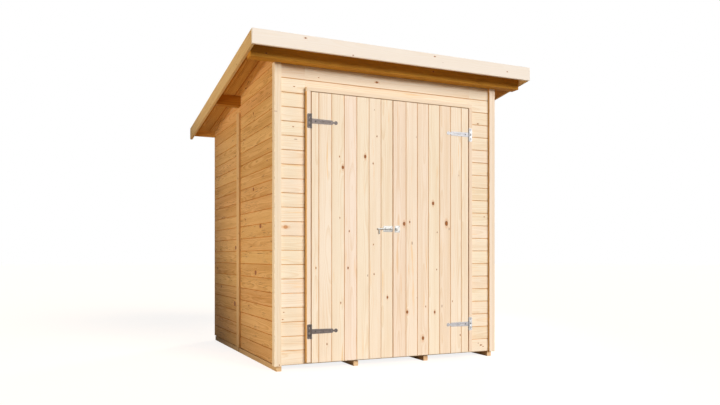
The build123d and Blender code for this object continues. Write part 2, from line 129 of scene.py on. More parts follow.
class RoofSettings(bpy.types.PropertyGroup):
    pitch: FloatProperty(
        name="Pitch", description="Slope of the roof", default=math.radians(7.4), subtype="ANGLE"
    )
    board_pitch: FloatProperty(
        name="Board pitch", description="Width of one roof board", default=0.096, unit="LENGTH"
    )
    groove: FloatProperty(
        name="Groove", description="Width and depth of the chamfer beside each joint", default=0.0045, unit="LENGTH"
    )
    gap: FloatProperty(name="Gap", description="Open line left at each joint", default=0.0025, unit="LENGTH")
    felt_courses: IntProperty(name="Felt courses", description="Strips of felt across the roof", default=3)
    felt_lap: FloatProperty(name="Felt lap", description="Overlap of two felt strips", default=0.075, unit="LENGTH")
    felt: FloatVectorProperty(
        name="Felt", description="Mineral surface of the felt", default=(0.06, 0.063, 0.062), subtype="COLOR"
    )
    # The wood under the roof is darker and more orange than the walls: painted shade under the eaves
    pale: FloatVectorProperty(
        name="Pale wood", description="Early wood under the roof", default=(0.95, 0.65, 0.25), subtype="COLOR"
    )
    tan: FloatVectorProperty(
        name="Tan wood", description="Late wood under the roof", default=(0.64, 0.34, 0.090), subtype="COLOR"
    )
    # The purlins are a much darker copy of the spruce: painted shade behind the fascia
    pale_in_purlin_shade: FloatVectorProperty(
        name="Pale purlin", description="Early wood of the purlins", default=(0.58, 0.28, 0.045), subtype="COLOR"
    )
    tan_in_purlin_shade: FloatVectorProperty(
        name="Tan purlin", description="Late wood of the purlins", default=(0.38, 0.155, 0.020), subtype="COLOR"
    )


class TimberSettings(bpy.types.PropertyGroup):
    arris: FloatProperty(
        name="Arris", description="Rounding of the edges of planed timber", default=0.0016, unit="LENGTH"
    )
    knot: FloatVectorProperty(
        name="Knot", description="Heart of a knot", default=(0.24, 0.075, 0.022), subtype="COLOR"
    )
    halo: FloatVectorProperty(
        name="Halo", description="Resin-rich wood round a knot", default=(0.70, 0.34, 0.12), subtype="COLOR"
    )
    # Colour multiplied in as painted shade: in the joint grooves, and on the sides of trims where shade falls beside
    # them
    joint: FloatVectorProperty(
        name="Joint", description="Darkening of the wood in the joints", default=(0.93, 0.67, 0.34), subtype="COLOR"
    )
    trim_pale: FloatVectorProperty(
        name="Pale trim", description="Early wood of trims and edge boards", default=(0.93, 0.83, 0.70),
        subtype="COLOR",
    )
    trim_tan: FloatVectorProperty(
        name="Tan trim", description="Late wood of trims and edge boards", default=(0.81, 0.64, 0.45), subtype="COLOR"
    )
    barge_pale: FloatVectorProperty(
        name="Pale barge board", description="Early wood of the barge boards", default=(0.80, 0.585, 0.315),
        subtype="COLOR",
    )
    barge_tan: FloatVectorProperty(
        name="Tan barge board", description="Late wood of the barge boards", default=(0.63, 0.39, 0.18),
        subtype="COLOR",
    )
    edge_pale: FloatVectorProperty(
        name="Pale fascia", description="Early wood of the front fascia", default=(0.95, 0.905, 0.88), subtype="COLOR"
    )
    edge_tan: FloatVectorProperty(
        name="Tan fascia", description="Late wood of the front fascia", default=(0.89, 0.79, 0.69), subtype="COLOR"
    )
    sawn_pale: FloatVectorProperty(
        name="Pale sawn wood", description="Early wood of framing and floor", default=(0.86, 0.64, 0.41),
        subtype="COLOR",
    )
    sawn_tan: FloatVectorProperty(
        name="Tan sawn wood", description="Late wood of framing and floor", default=(0.66, 0.42, 0.22),
        subtype="COLOR",
    )


class FittingSettings(bpy.types.PropertyGroup):
    zinc: FloatVectorProperty(
        name="Zinc", description="Galvanised steel of the bolt", default=(0.44, 0.44, 0.43), subtype="COLOR"
    )
    bright_zinc: FloatVectorProperty(
        name="Bright zinc", description="Right hinge plates, screws and nails", default=(0.42, 0.42, 0.43),
        subtype="COLOR",
    )
    # A darker copy of the same zinc for the right straps: painted shade, less bright than the plates
    worn_zinc: FloatVectorProperty(
        name="Worn zinc", description="Right hinge straps", default=(0.33, 0.33, 0.345), subtype="COLOR"
    )
    # A much darker copy of the same zinc for the left hinges: painted shade where they catch less light
    dull_zinc: FloatVectorProperty(
        name="Dull zinc", description="Left hinges", default=(0.105, 0.088, 0.082), subtype="COLOR"
    )
    screw_radius: FloatProperty(
        name="Screw head", description="Radius of a hinge screw head", default=0.0041, unit="LENGTH"
    )
    nail_radius: FloatProperty(
        name="Nail head", description="Radius of a nail head", default=0.0018, unit="LENGTH"
    )


class StudioSettings(bpy.types.PropertyGroup):
    key_strength: FloatProperty(name="Key", description="Strength of the main light", default=3.02)
    key_turn: FloatProperty(
        name="Key turn", description="Main light right of the front", default=math.radians(16), subtype="ANGLE"
    )
    key_height: FloatProperty(
        name="Key height", description="Main light above level", default=math.radians(22), subtype="ANGLE"
    )
    key_spread: FloatProperty(
        name="Key spread", description="Softness of the main light", default=math.radians(30), subtype="ANGLE"
    )
    surround: FloatVectorProperty(
        name="Surround", description="Light from all round", default=(0.070, 0.051, 0.031), subtype="COLOR"
    )
    fill_strength: FloatProperty(name="Fill", description="Power of the warm light at the left side", default=420.0)
    rear_strength: FloatProperty(name="Rear fill", description="Strength of the lamp behind the shed", default=2200.0)
    floor: FloatVectorProperty(
        name="Floor", description="Plain pale floor", default=(0.41, 0.32, 0.22), subtype="COLOR"
    )
    floor_lift: FloatProperty(name="Floor lift", description="How far the floor is lifted to white", default=0.86)


SETTINGS = {
    "shed_cladding": CladdingSettings,
    "shed_doors": DoorSettings,
    "shed_roof": RoofSettings,
    "shed_timber": TimberSettings,
    "shed_fittings": FittingSettings,
    "shed_studio": StudioSettings,
}


# ---------------------------------------------------------------- node formulas


class Formula:
    """Lays nodes in a tree, so that a finish reads as a sum of its parts."""

    def __init__(self, tree):
        self.tree = tree

    def node(self, kind, settings=None, **sockets):
        made = self.tree.nodes.new(kind)
        for name, value in (settings or {}).items():
            setattr(made, name, value)
        for name, value in sockets.items():
            self.feed(made.inputs[name.replace("_", " ")], value)
        return made

    def feed(self, socket, value):
        if isinstance(value, bpy.types.NodeSocket):
            self.tree.links.new(value, socket)
        else:
            socket.default_value = value

    def math(self, operation, first, second=0.0, third=0.0):
        made = self.node("ShaderNodeMath", {"operation": operation})
        for socket, value in zip(made.inputs, (first, second, third)):
            self.feed(socket, value)
        return made.outputs[0]

    def vector(self, operation, first, second=(0.0, 0.0, 0.0)):
        made = self.node("ShaderNodeVectorMath", {"operation": operation})
        self.feed(made.inputs[0], first)
        self.feed(made.inputs[1], second)
        return made.outputs[0]

    def parts(self, vector):
        made = self.node("ShaderNodeSeparateXYZ", Vector=vector)
        return made.outputs[0], made.outputs[1], made.outputs[2]

    def join(self, x, y, z):
        return self.node("ShaderNodeCombineXYZ", X=x, Y=y, Z=z).outputs[0]

    def band(self, value, low, high, start=0.0, end=1.0):
        made = self.node("ShaderNodeMapRange", {"interpolation_type": "SMOOTHSTEP"})
        for name, number in (
            ("Value", value), ("From Min", low), ("From Max", high), ("To Min", start), ("To Max", end)
        ):
            self.feed(made.inputs[name], number)
        return made.outputs[0]

    def noise(self, vector, scale, detail=2.0, rough=0.5):
        made = self.node("ShaderNodeTexNoise", Vector=vector, Scale=scale, Detail=detail, Roughness=rough)
        return made.outputs["Fac"]

    def blend(self, amount, first, second, kind="MIX"):
        made = self.node("ShaderNodeMix", {"data_type": "RGBA", "blend_type": kind})
        self.feed(made.inputs["Factor"], amount)
        self.feed(made.inputs[6], first)
        self.feed(made.inputs[7], second)
        return made.outputs[2]

    def attribute(self, name, output="Vector"):
        return self.node("ShaderNodeAttribute", {"attribute_name": name}).outputs[output]


def colour(value, level=1.0):
    """A node colour from a setting, at a level of its own brightness."""
    return (*(part * level for part in value), 1.0)


def start_finish(name):
    """A new material with its formula and its main shader."""
    made = bpy.data.materials.new(name)
    made.use_nodes = True
    return made, Formula(made.node_tree), made.node_tree.nodes["Principled BSDF"]


def feed_surface(sheet, shader, tint, rough, relief=None):
    sheet.feed(shader.inputs["Base Color"], tint)
    sheet.feed(shader.inputs["Roughness"], rough)
    if relief:
        sheet.feed(shader.inputs["Normal"], relief.outputs[0])


KNOT_NAMES = ("knot_a", "knot_b", "knot_c", "knot_d")
NO_KNOT = Vector((-50.0, 0.0, 0.001))
# How far from its nearest knot a point without one counts as being, in knot radii
NO_KNOT_NEAR = 40.0
RING_WIDTH = 0.0046


def softwood_pattern(timber):
    """Growth rings, streaks, fibre, knots and pin knots in a board's own grain coordinates, with painted shade in the
    joint grooves and on shaded sides.
    """
    tree = bpy.data.node_groups.new("softwood pattern", "ShaderNodeTree")
    for name, kind, start in (
        ("Pale", "NodeSocketColor", (0.9, 0.7, 0.5, 1.0)),
        ("Tan", "NodeSocketColor", (0.7, 0.5, 0.3, 1.0)),
        ("Figure", "NodeSocketFloat", 1.0),
        ("Specks", "NodeSocketFloat", 0.2),
        ("Streaks", "NodeSocketFloat", 0.3),
        ("Dashes", "NodeSocketFloat", 0.1),
    ):
        made = tree.interface.new_socket(name=name, in_out="INPUT", socket_type=kind)
        made.default_value = start
    for name, kind in (("Color", "NodeSocketColor"), ("Height", "NodeSocketFloat"), ("Rough", "NodeSocketFloat")):
        tree.interface.new_socket(name=name, in_out="OUTPUT", socket_type=kind)
    wood = Formula(tree)
    given = wood.node("NodeGroupInput").outputs
    grain = wood.attribute("grain")
    along, across, depth = wood.parts(grain)
    tone = wood.attribute("tone")
    bright, warm, seed = wood.parts(tone)
    # Painted shade: the joint attribute darkens the grooves and the shaded sides of trims
    edge = wood.attribute("joint", "Fac")

    def stretched(length, width, offset):
        spread = wood.vector("MULTIPLY", grain, (length, width, width))
        shifted = wood.join(wood.math("ADD", seed, offset), wood.math("MULTIPLY", seed, 1.7), seed)
        return wood.vector("ADD", spread, shifted)

    def distance(first, second):
        return wood.math(
            "SQRT", wood.math("ADD", wood.math("POWER", first, 2.0), wood.math("POWER", second, 2.0))
        )

    wander = wood.math("SUBTRACT", wood.noise(stretched(1.6, 9.0, 3.1), 1.0, 3.0), 0.5)
    broad = wood.noise(stretched(1.1, 26.0, 11.3), 1.0, 3.0, 0.55)
    fine = wood.noise(stretched(5.0, 160.0, 23.9), 1.0, 3.0, 0.6)
    fibre = wood.noise(stretched(22.0, 1300.0, 31.7), 1.0, 2.0, 0.6)
    patch = wood.noise(stretched(1.4, 5.5, 47.9), 1.0, 2.0, 0.5)
    resin = wood.noise(stretched(2.2, 46.0, 61.3), 1.0, 3.0, 0.6)
    torn = wood.noise(stretched(9.0, 230.0, 79.1), 1.0, 2.0, 0.5)
    flock = wood.noise(stretched(2.6, 14.0, 91.7), 1.0, 1.0, 0.5)

    swell = fresh = 0.0
    nearest = reach = trail = NO_KNOT_NEAR
    for name in KNOT_NAMES:
        centre_along, centre_across, marked = wood.parts(wood.attribute(name))
        radius = wood.math("FRACT", marked)
        step_along = wood.math("DIVIDE", wood.math("SUBTRACT", along, centre_along), radius)
        step_across = wood.math("DIVIDE", wood.math("SUBTRACT", across, centre_across), radius)
        uneven = wood.math("MULTIPLY_ADD", fine, 0.35, 0.82)
        near = wood.math("MULTIPLY", uneven, distance(wood.math("MULTIPLY", step_along, 0.70), step_across))
        far = distance(wood.math("MULTIPLY", step_along, 0.42), step_across)
        fall = wood.math("EXPONENT", wood.math("MULTIPLY", wood.math("POWER", far, 2.0), -0.42))
        swell = wood.math("ADD", swell, wood.math("MULTIPLY", fall, radius))
        drawn = wood.math("ABSOLUTE", wood.math("MULTIPLY", step_along, 0.11))
        trail = wood.math("MINIMUM", trail, wood.math("ADD", drawn, wood.math("ABSOLUTE", step_across)))
        nearest = wood.math("MINIMUM", nearest, near)
        live = wood.math("MULTIPLY", wood.math("GREATER_THAN", marked, 0.5), wood.math("LESS_THAN", near, 3.0))
        fresh = wood.math("MAXIMUM", fresh, live)
        reach = wood.math("MINIMUM", reach, far)

    chance = wood.node("ShaderNodeTexWhiteNoise", {"noise_dimensions": "1D"}, W=seed).outputs["Value"]
    pith_across = wood.math("MULTIPLY_ADD", chance, 0.11, -0.055)
    pith_depth = wood.math("MULTIPLY_ADD", chance, -0.035, 0.060)
    side_step = wood.math("ADD", wood.math("SUBTRACT", across, pith_across), wood.math("MULTIPLY", wander, 0.030))
    deep_step = wood.math("ADD", depth, wood.math("MULTIPLY_ADD", patch, 0.030, pith_depth))
    radius = wood.math("ADD", distance(side_step, deep_step), wood.math("MULTIPLY", swell, 1.5))
    radius = wood.math("ADD", radius, wood.math("MULTIPLY", fine, 0.0008))
    ring = wood.math("FRACT", wood.math("DIVIDE", radius, RING_WIDTH))
    late = wood.math("MULTIPLY", wood.band(ring, 0.35, 0.93), wood.band(ring, 1.0, 0.94))

    amount = wood.math("MULTIPLY", late, 0.46)
    amount = wood.math("MULTIPLY_ADD", wood.band(broad, 0.40, 0.80), 0.42, amount)
    amount = wood.math("MULTIPLY_ADD", wood.math("SUBTRACT", fine, 0.5), 0.34, amount)
    amount = wood.math("MULTIPLY_ADD", wood.math("SUBTRACT", patch, 0.5), 0.45, amount)
    amount = wood.math("MULTIPLY_ADD", wood.math("SUBTRACT", fibre, 0.5), 0.22, amount)
    amount = wood.math("MULTIPLY", amount, given["Figure"])
    amount = wood.math("ADD", amount, wood.math("MULTIPLY_ADD", bright, -0.20, 0.10))
    amount = wood.node("ShaderNodeClamp", Value=amount).outputs[0]
    planed = wood.blend(amount, given["Pale"], given["Tan"])
    rosy = wood.blend(wood.math("MULTIPLY_ADD", warm, 0.5, 0.5), (1.0, 1.01, 0.93, 1.0), (1.0, 0.955, 0.945, 1.0))
    planed = wood.blend(1.0, planed, rosy, "MULTIPLY")

    stained = wood.blend(1.0, planed, (0.98, 0.78, 0.50, 1.0), "MULTIPLY")
    sticky = wood.math("MULTIPLY", wood.band(resin, 0.60, 0.76), given["Streaks"])
    planed = wood.blend(sticky, planed, stained)
    flock = wood.math("MAXIMUM", wood.band(flock, 0.52, 0.64), wood.band(trail, 1.9, 1.1))
    broken = wood.math("MULTIPLY", wood.band(torn, 0.58, 0.66), flock)
    planed = wood.blend(wood.math("MULTIPLY", broken, given["Dashes"]), planed, (0.27, 0.12, 0.045, 1.0))

    pin = wood.node("ShaderNodeTexVoronoi", {"voronoi_dimensions": "2D"}, Vector=stretched(5.2, 17.0, 0.0), Scale=1.0)
    pick = wood.parts(pin.outputs["Color"])
    chosen = wood.band(pick[0], wood.math("SUBTRACT", 1.0, given["Specks"]), 1.0)
    size = wood.math("MULTIPLY_ADD", pick[1], 0.055, 0.018)
    speck = wood.band(wood.math("DIVIDE", pin.outputs["Distance"], size), 1.25, 0.55)
    speck = wood.math("MULTIPLY", speck, wood.band(chosen, 0.0, 0.15))
    planed = wood.blend(wood.math("MULTIPLY", speck, 0.80), planed, (0.30, 0.125, 0.042, 1.0))

    halo = wood.math("MULTIPLY", wood.band(reach, 1.70, 0.80), 0.42)
    planed = wood.blend(halo, planed, colour(timber.halo))
    inner = wood.math("SINE", wood.math("MULTIPLY", nearest, 15.0))
    heart = wood.blend(
        wood.math("MULTIPLY_ADD", inner, 0.18, 0.42), colour(timber.knot), (0.52, 0.22, 0.075, 1.0)
    )
    heart = wood.blend(wood.band(nearest, 0.62, 0.92), heart, (0.12, 0.036, 0.012, 1.0))
    heart = wood.blend(wood.math("MULTIPLY", fresh, 0.72), heart, (0.74, 0.40, 0.20, 1.0))
    centre = wood.band(nearest, 1.08, 0.86)
    planed = wood.blend(centre, planed, heart)
    # Painted shade in the joint grooves and on the shaded sides of trims
    planed = wood.blend(edge, planed, wood.blend(1.0, planed, colour(timber.joint), "MULTIPLY"))

    height = wood.math("MULTIPLY", fibre, 0.55)
    height = wood.math("MULTIPLY_ADD", late, 0.45, height)
    height = wood.math("MULTIPLY_ADD", centre, 0.6, height)
    rough = wood.math("MULTIPLY_ADD", fine, 0.16, 0.50)
    rough = wood.math("MULTIPLY_ADD", centre, -0.12, rough)
    result = wood.node("NodeGroupOutput")
    wood.feed(result.inputs["Color"], planed)
    wood.feed(result.inputs["Height"], height)
    wood.feed(result.inputs["Rough"], rough)
    return tree


def softwood(name, pale, tan, figure, specks, streaks, dashes, bump=0.35):
    """A planed or sawn softwood finish from the shared pattern."""
    if name in bpy.data.materials:
        return bpy.data.materials[name]
    pattern = bpy.data.node_groups.get("softwood pattern")
    if pattern is None:
        pattern = softwood_pattern(bpy.context.scene.shed_timber)
    made, wood, shader = start_finish(name)
    shader.inputs["Specular IOR Level"].default_value = 0.03
    look = wood.node(
        "ShaderNodeGroup", {"node_tree": pattern}, Pale=colour(pale), Tan=colour(tan), Figure=figure, Specks=specks,
        Streaks=streaks, Dashes=dashes,
    )
    relief = wood.node("ShaderNodeBump", Strength=bump, Distance=0.0004, Height=look.outputs["Height"])
    feed_surface(wood, shader, look.outputs["Color"], look.outputs["Rough"], relief)
    return made


def wood_finish(kind):
    """The finish of one kind of wood on this shed."""
    scene = bpy.context.scene
    cladding, doors, roof, timber = scene.shed_cladding, scene.shed_doors, scene.shed_roof, scene.shed_timber
    # Name, pale and tan colour, then how strong the figure, specks, streaks, dashes and relief are
    finishes = {
        "front": ("planed spruce front", cladding.pale, cladding.tan, 0.95, 0.10, 0.80, 0.10),
        # Painted shade: the side and rear walls take a darker, oranger copy of the front spruce
        "side": ("planed spruce side", cladding.side_pale, cladding.side_tan, 1.15, 0.34, 0.45, 0.75),
        "door": ("planed spruce door", doors.pale, doors.tan, 0.95, 0.07, 0.85, 0.06),
        # Painted shade: the wood under the roof is a darker, oranger copy of the spruce
        "roof": ("planed spruce roof", roof.pale, roof.tan, 1.20, 0.26, 0.55, 0.80),
        # Painted shade: the purlins take a much darker copy of the spruce
        "purlin": ("planed spruce purlin", roof.pale_in_purlin_shade, roof.tan_in_purlin_shade, 0.80, 0.10, 0.3, 0.0),
        "barge": ("planed spruce barge", timber.barge_pale, timber.barge_tan, 0.90, 0.10, 0.5, 0.25),
        "trim": ("planed spruce trim", timber.trim_pale, timber.trim_tan, 0.62, 0.06, 0.25, 0.0),
        "edge": ("planed spruce fascia", timber.edge_pale, timber.edge_tan, 0.42, 0.02, 0.10, 0.0),
        "sawn": ("sawn spruce", timber.sawn_pale, timber.sawn_tan, 1.15, 0.16, 0.4, 0.2, 0.7),
    }
    return softwood(*finishes[kind])


def galvanised_steel(kind="zinc"):
    """Zinc with faint spangle and handling marks. kind is the setting that holds its colour."""
    name = f"galvanised steel {kind}"
    if name in bpy.data.materials:
        return bpy.data.materials[name]
    zinc = getattr(bpy.context.scene.shed_fittings, kind)
    made, metal, shader = start_finish(name)
    shader.inputs["Metallic"].default_value = 0.85
    place = metal.node("ShaderNodeTexCoord").outputs["Object"]
    spangle = metal.node("ShaderNodeTexVoronoi", Vector=place, Scale=260.0).outputs["Color"]
    flake = metal.parts(spangle)[0]
    cloud = metal.noise(place, 45.0, 4.0, 0.6)
    scratch = metal.noise(metal.vector("MULTIPLY", place, (60.0, 900.0, 1400.0)), 1.0, 2.0, 0.6)
    level = metal.math("MULTIPLY_ADD", flake, 0.16, metal.math("MULTIPLY", cloud, 0.34))
    tint = metal.blend(metal.band(level, 0.10, 0.42), colour(zinc, 0.72), colour(zinc, 1.12))
    tint = metal.blend(metal.math("MULTIPLY", metal.band(scratch, 0.62, 0.75), 0.18), tint, (0.86, 0.86, 0.87, 1.0))
    rough = metal.math("MULTIPLY_ADD", flake, 0.10, metal.math("MULTIPLY_ADD", cloud, 0.20, 0.36))
    relief = metal.node("ShaderNodeBump", Strength=0.25, Distance=0.0002, Height=metal.math("ADD", cloud, scratch))
    feed_surface(metal, shader, tint, rough, relief)
    return made


def dark_screw():
    """Black phosphate on a screw, worn a little on the high spots."""
    name = "black screw"
    if name in bpy.data.materials:
        return bpy.data.materials[name]
    made, metal, shader = start_finish(name)
    shader.inputs["Metallic"].default_value = 0.6
    place = metal.node("ShaderNodeTexCoord").outputs["Object"]
    cloud = metal.noise(place, 900.0, 3.0, 0.6)
    tint = metal.blend(metal.band(cloud, 0.45, 0.75), (0.012, 0.012, 0.013, 1.0), (0.07, 0.068, 0.066, 1.0))
    feed_surface(metal, shader, tint, metal.math("MULTIPLY_ADD", cloud, 0.30, 0.32))
    return made


def mineral_felt():
    """Roofing felt: fine mineral granules pressed in bitumen, a little paler where the granules lie thick."""
    base = bpy.context.scene.shed_roof.felt
    made, felt, shader = start_finish("mineral felt")
    shader.inputs["Specular IOR Level"].default_value = 0.25
    place = felt.node("ShaderNodeTexCoord").outputs["Object"]
    grit = felt.node("ShaderNodeTexVoronoi", Vector=place, Scale=720.0)
    grain = felt.parts(grit.outputs["Color"])[0]
    cloud = felt.noise(place, 3.2, 4.0, 0.6)
    worn = felt.noise(place, 24.0, 4.0, 0.65)
    level = felt.math("MULTIPLY_ADD", cloud, 0.5, felt.math("MULTIPLY", worn, 0.4))
    level = felt.math("MULTIPLY_ADD", grain, 0.55, level)
    tint = felt.blend(felt.band(level, 0.35, 1.15), colour(base, 0.45), colour(base, 2.1))
    relief = felt.node(
        "ShaderNodeBump", Strength=0.6, Distance=0.0006, Height=felt.math("SUBTRACT", 1.0, grit.outputs["Distance"])
    )
    feed_surface(felt, shader, tint, felt.math("MULTIPLY_ADD", grain, 0.15, 0.78), relief)
    return made


# ---------------------------------------------------------------- modelling

# Points closer than this are one point
MERGE = 0.00002
# Painted shade in a joint groove is darkest this far below the board's face
GROOVE_SHADE_DEPTH = 0.003
TONGUE_REACH = 0.0055
TONGUE_EASE = 0.0004
# A narrower strip of wall is left as part of the board beside it
LEAST_BOARD = 0.02
STEEL_EDGE = 0.0004


def grain_layers(shape):
    layers = shape.verts.layers.float_vector
    return {name: layers.get(name) or layers.new(name) for name in ("grain", "tone", *KNOT_NAMES)}


def mark_grain(shape, verts, origin, along, face, tone, knots=()):
    """Writes a board's own coordinates, tone and knots on its points. A knot is (along, across, radius)."""
    layers = grain_layers(shape)
    across = face.cross(along)
    places = [Vector(knot) for knot in knots][: len(KNOT_NAMES)]
    places += [NO_KNOT] * (len(KNOT_NAMES) - len(places))
    for vert in verts:
        step = vert.co - origin
        vert[layers["grain"]] = Vector((step.dot(along), step.dot(across), step.dot(face)))
        vert[layers["tone"]] = tone
        for name, place in zip(KNOT_NAMES, places):
            vert[layers[name]] = place


def board_outline(width, thickness, groove, gap, tongued, slotted):
    """The section of a board as (across, out) points: chamfered on its face, a tongue at its top, a slot below."""
    top, low = width / 2, -width / 2 + gap
    tongue_low, tongue_high = thickness * 0.30, thickness * 0.60
    outline = [(low, 0.0), (top, 0.0)]
    if tongued:
        tip = top + TONGUE_REACH
        outline += [(top, tongue_low), (tip, tongue_low), (tip, tongue_high), (top, tongue_high)]
    outline += [
        (top, thickness - groove),
        (top - groove * 0.42, thickness - groove * 0.30),
        (top - groove, thickness),
        (low + groove, thickness),
        (low + groove * 0.42, thickness - groove * 0.30),
        (low, thickness - groove),
    ]
    if slotted:
        slot_low, slot_high = tongue_low - TONGUE_EASE, tongue_high + TONGUE_EASE
        deep = low + TONGUE_REACH + TONGUE_EASE
        outline += [(low, slot_high), (deep, slot_high), (deep, slot_low), (low, slot_low)]
    return outline


def lay_board(shape, start, along, face, length, outline, tone, knots=(), cuts=()):
    """Adds one board: its section at start is drawn out along its length and cut by planes (point, outward)."""
    grain_layers(shape)
    done = shape.verts.layers.int.get("laid") or shape.verts.layers.int.new("laid")
    joint = shape.verts.layers.float.get("joint") or shape.verts.layers.float.new("joint")
    across = face.cross(along)
    section = [shape.verts.new(start + across * v + face * w) for v, w in outline]
    cap = shape.faces.new(section)
    drawn = bmesh.ops.extrude_face_region(shape, geom=[cap], use_keep_orig=True)["geom"]
    far = [item for item in drawn if isinstance(item, bmesh.types.BMVert)]
    bmesh.ops.translate(shape, verts=far, vec=along * length)
    for point, outward in cuts:
        verts = [vert for vert in shape.verts if not vert[done]]
        edges = {edge for vert in verts for edge in vert.link_edges}
        faces = {side for vert in verts for side in vert.link_faces}
        cut = bmesh.ops.bisect_plane(
            shape, geom=[*verts, *edges, *faces], plane_co=point, plane_no=outward, clear_outer=True
        )["geom_cut"]
        rim = [item for item in cut if isinstance(item, bmesh.types.BMEdge)]
        if rim:
            bmesh.ops.edgeloop_fill(shape, edges=rim)
    verts = [vert for vert in shape.verts if not vert[done]]
    faces = list({side for vert in verts for side in vert.link_faces})
    bmesh.ops.recalc_face_normals(shape, faces=faces)
    mark_grain(shape, verts, start, along, face, tone, knots)
    # The joint attribute is painted shade, deeper the further a point lies into a groove, none on the back
    top = max(w for v, w in outline)
    for vert in verts:
        depth = top - (vert.co - start).dot(face)
        on_back = depth >= top - 0.0005
        vert[done] = 1
        vert[joint] = 0.0 if on_back else min(1.0, max(0.0, depth / GROOVE_SHADE_DEPTH))


def keep_piece(shape, name, finish, body, nodes=(), smooth=None):
    """Turns a shape into a finished object at the origin that rides on a body. smooth is its sharpest soft edge."""
    laid = shape.verts.layers.int.get("laid")
    if laid is not None:
        shape.verts.layers.int.remove(laid)
    mesh = bpy.data.meshes.new(name)
    shape.to_mesh(mesh)
    shape.free()
    if smooth is not None:
        mesh.set_sharp_from_angle(angle=smooth)
    mesh.materials.append(finish)
    piece = bpy.data.objects.new(name, mesh)
    bpy.context.scene.collection.objects.link(piece)
    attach(piece, body)
    if nodes:
        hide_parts(*nodes)
    return piece


def board_tone(chance, spread=1.0):
    """Brightness, warmth and pattern seed of one board."""
    return Vector((chance.uniform(-1, 1) * spread, chance.uniform(-1, 1) * spread, chance.uniform(0, 400)))


def soffit(y):
    """Height of the underside of the roof."""
    return SOFFIT_HEIGHT - (y - FRONT) * math.tan(bpy.context.scene.shed_roof.pitch)


def roof_slope():
    """The directions down the slope of the roof and square to it."""
    pitch = bpy.context.scene.shed_roof.pitch
    return Vector((0.0, math.cos(pitch), -math.sin(pitch))), Vector((0.0, math.sin(pitch), math.cos(pitch)))


def scattered_knots(chance, length, width, mean_gap, largest):
    """Knots of an unseen or plain board, at random along it."""
    knots = []
    reach = chance.uniform(0.1, 1.0) * mean_gap
    while reach < length:
        knots.append(
            (reach, chance.uniform(-0.36, 0.36) * width, chance.triangular(0.0022, largest, 0.0035))
        )
        reach += chance.uniform(0.5, 1.7) * mean_gap
    return knots


def clad_panel(name, node, face, start, rows, finish, seed, seen=(), spread=1.0):
    """Horizontal cladding of one wall panel. rows are (bottom, top, start along, end along) heights and reaches."""
    settings = bpy.context.scene.shed_cladding
    chance = random.Random(seed)
    shape = bmesh.new()
    along = UP.cross(face)
    thickness = side_front_panel[1].x - side_front_panel[0].x
    roof = (Vector((0.0, FRONT, SOFFIT_HEIGHT)), roof_slope()[1])
    for index, (low, high, first, last) in enumerate(rows):
        width, middle = high - low, (low + high) / 2
        outline = board_outline(width, thickness, settings.groove, settings.gap, index < len(rows) - 1, index > 0)
        corner = start + along * first + UP * (middle - start.z) - face * thickness
        knots = [
            (reach - first, height - middle, radius)
            for reach, height, radius in seen
            if low < height < high and first < reach < last
        ]
        if not seen:
            knots = scattered_knots(chance, last - first, width, 0.55, 0.007)
        chance.shuffle(knots)
        lay_board(shape, corner, along, face, last - first, outline, board_tone(chance, spread), knots, [roof])
    return keep_piece(shape, name, finish, "shed", [node])


def cladding_rows(bottom, top, first, last, limits=None):
    """Rows of boards from bottom to top: (low, high, start, end). limits(low, high) may change start and end."""
    settings = bpy.context.scene.shed_cladding
    rows = []
    low = bottom
    joint = settings.first_joint
    while joint < bottom + LEAST_BOARD:
        joint += settings.board_pitch
    while low < top - 0.001:
        high = joint if joint < top - LEAST_BOARD else top
        start, end = limits(low, high) if limits else (first, last)
        rows.append((low, high, start, end))
        low = high
        joint += settings.board_pitch
    return rows


def merged_copy(node):
    """A CAD node's mesh with its loose triangles joined up."""
    shape = bmesh.new()
    shape.from_mesh(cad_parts[node].data)
    bmesh.ops.remove_doubles(shape, verts=shape.verts, dist=MERGE)
    return shape


def ease_edges(shape, least_angle, size, clamp=False):
    """Rounds every edge that turns by more than least_angle."""
    sharp = [edge for edge in shape.edges if edge.is_manifold and edge.calc_face_angle() > least_angle]
    bmesh.ops.bevel(
        shape, geom=sharp, offset=size, offset_type="OFFSET", affect="EDGES", segments=2, profile=0.5, material=-1,
        clamp_overlap=clamp,
    )


def single_timbers(shape):
    """The points of each separate timber, in order of place along X, then Y, then Z."""
    left = set(shape.verts)
    timbers = []
    while left:
        timber = []
        queue = [left.pop()]
        while queue:
            vert = queue.pop()
            timber.append(vert)
            for edge in vert.link_edges:
                other = edge.other_vert(vert)
                if other in left:
                    left.remove(other)
                    queue.append(other)
        timbers.append(timber)
    timbers.sort(key=lambda timber: tuple(round(min(vert.co[axis] for vert in timber), 4) for axis in range(3)))
    return timbers


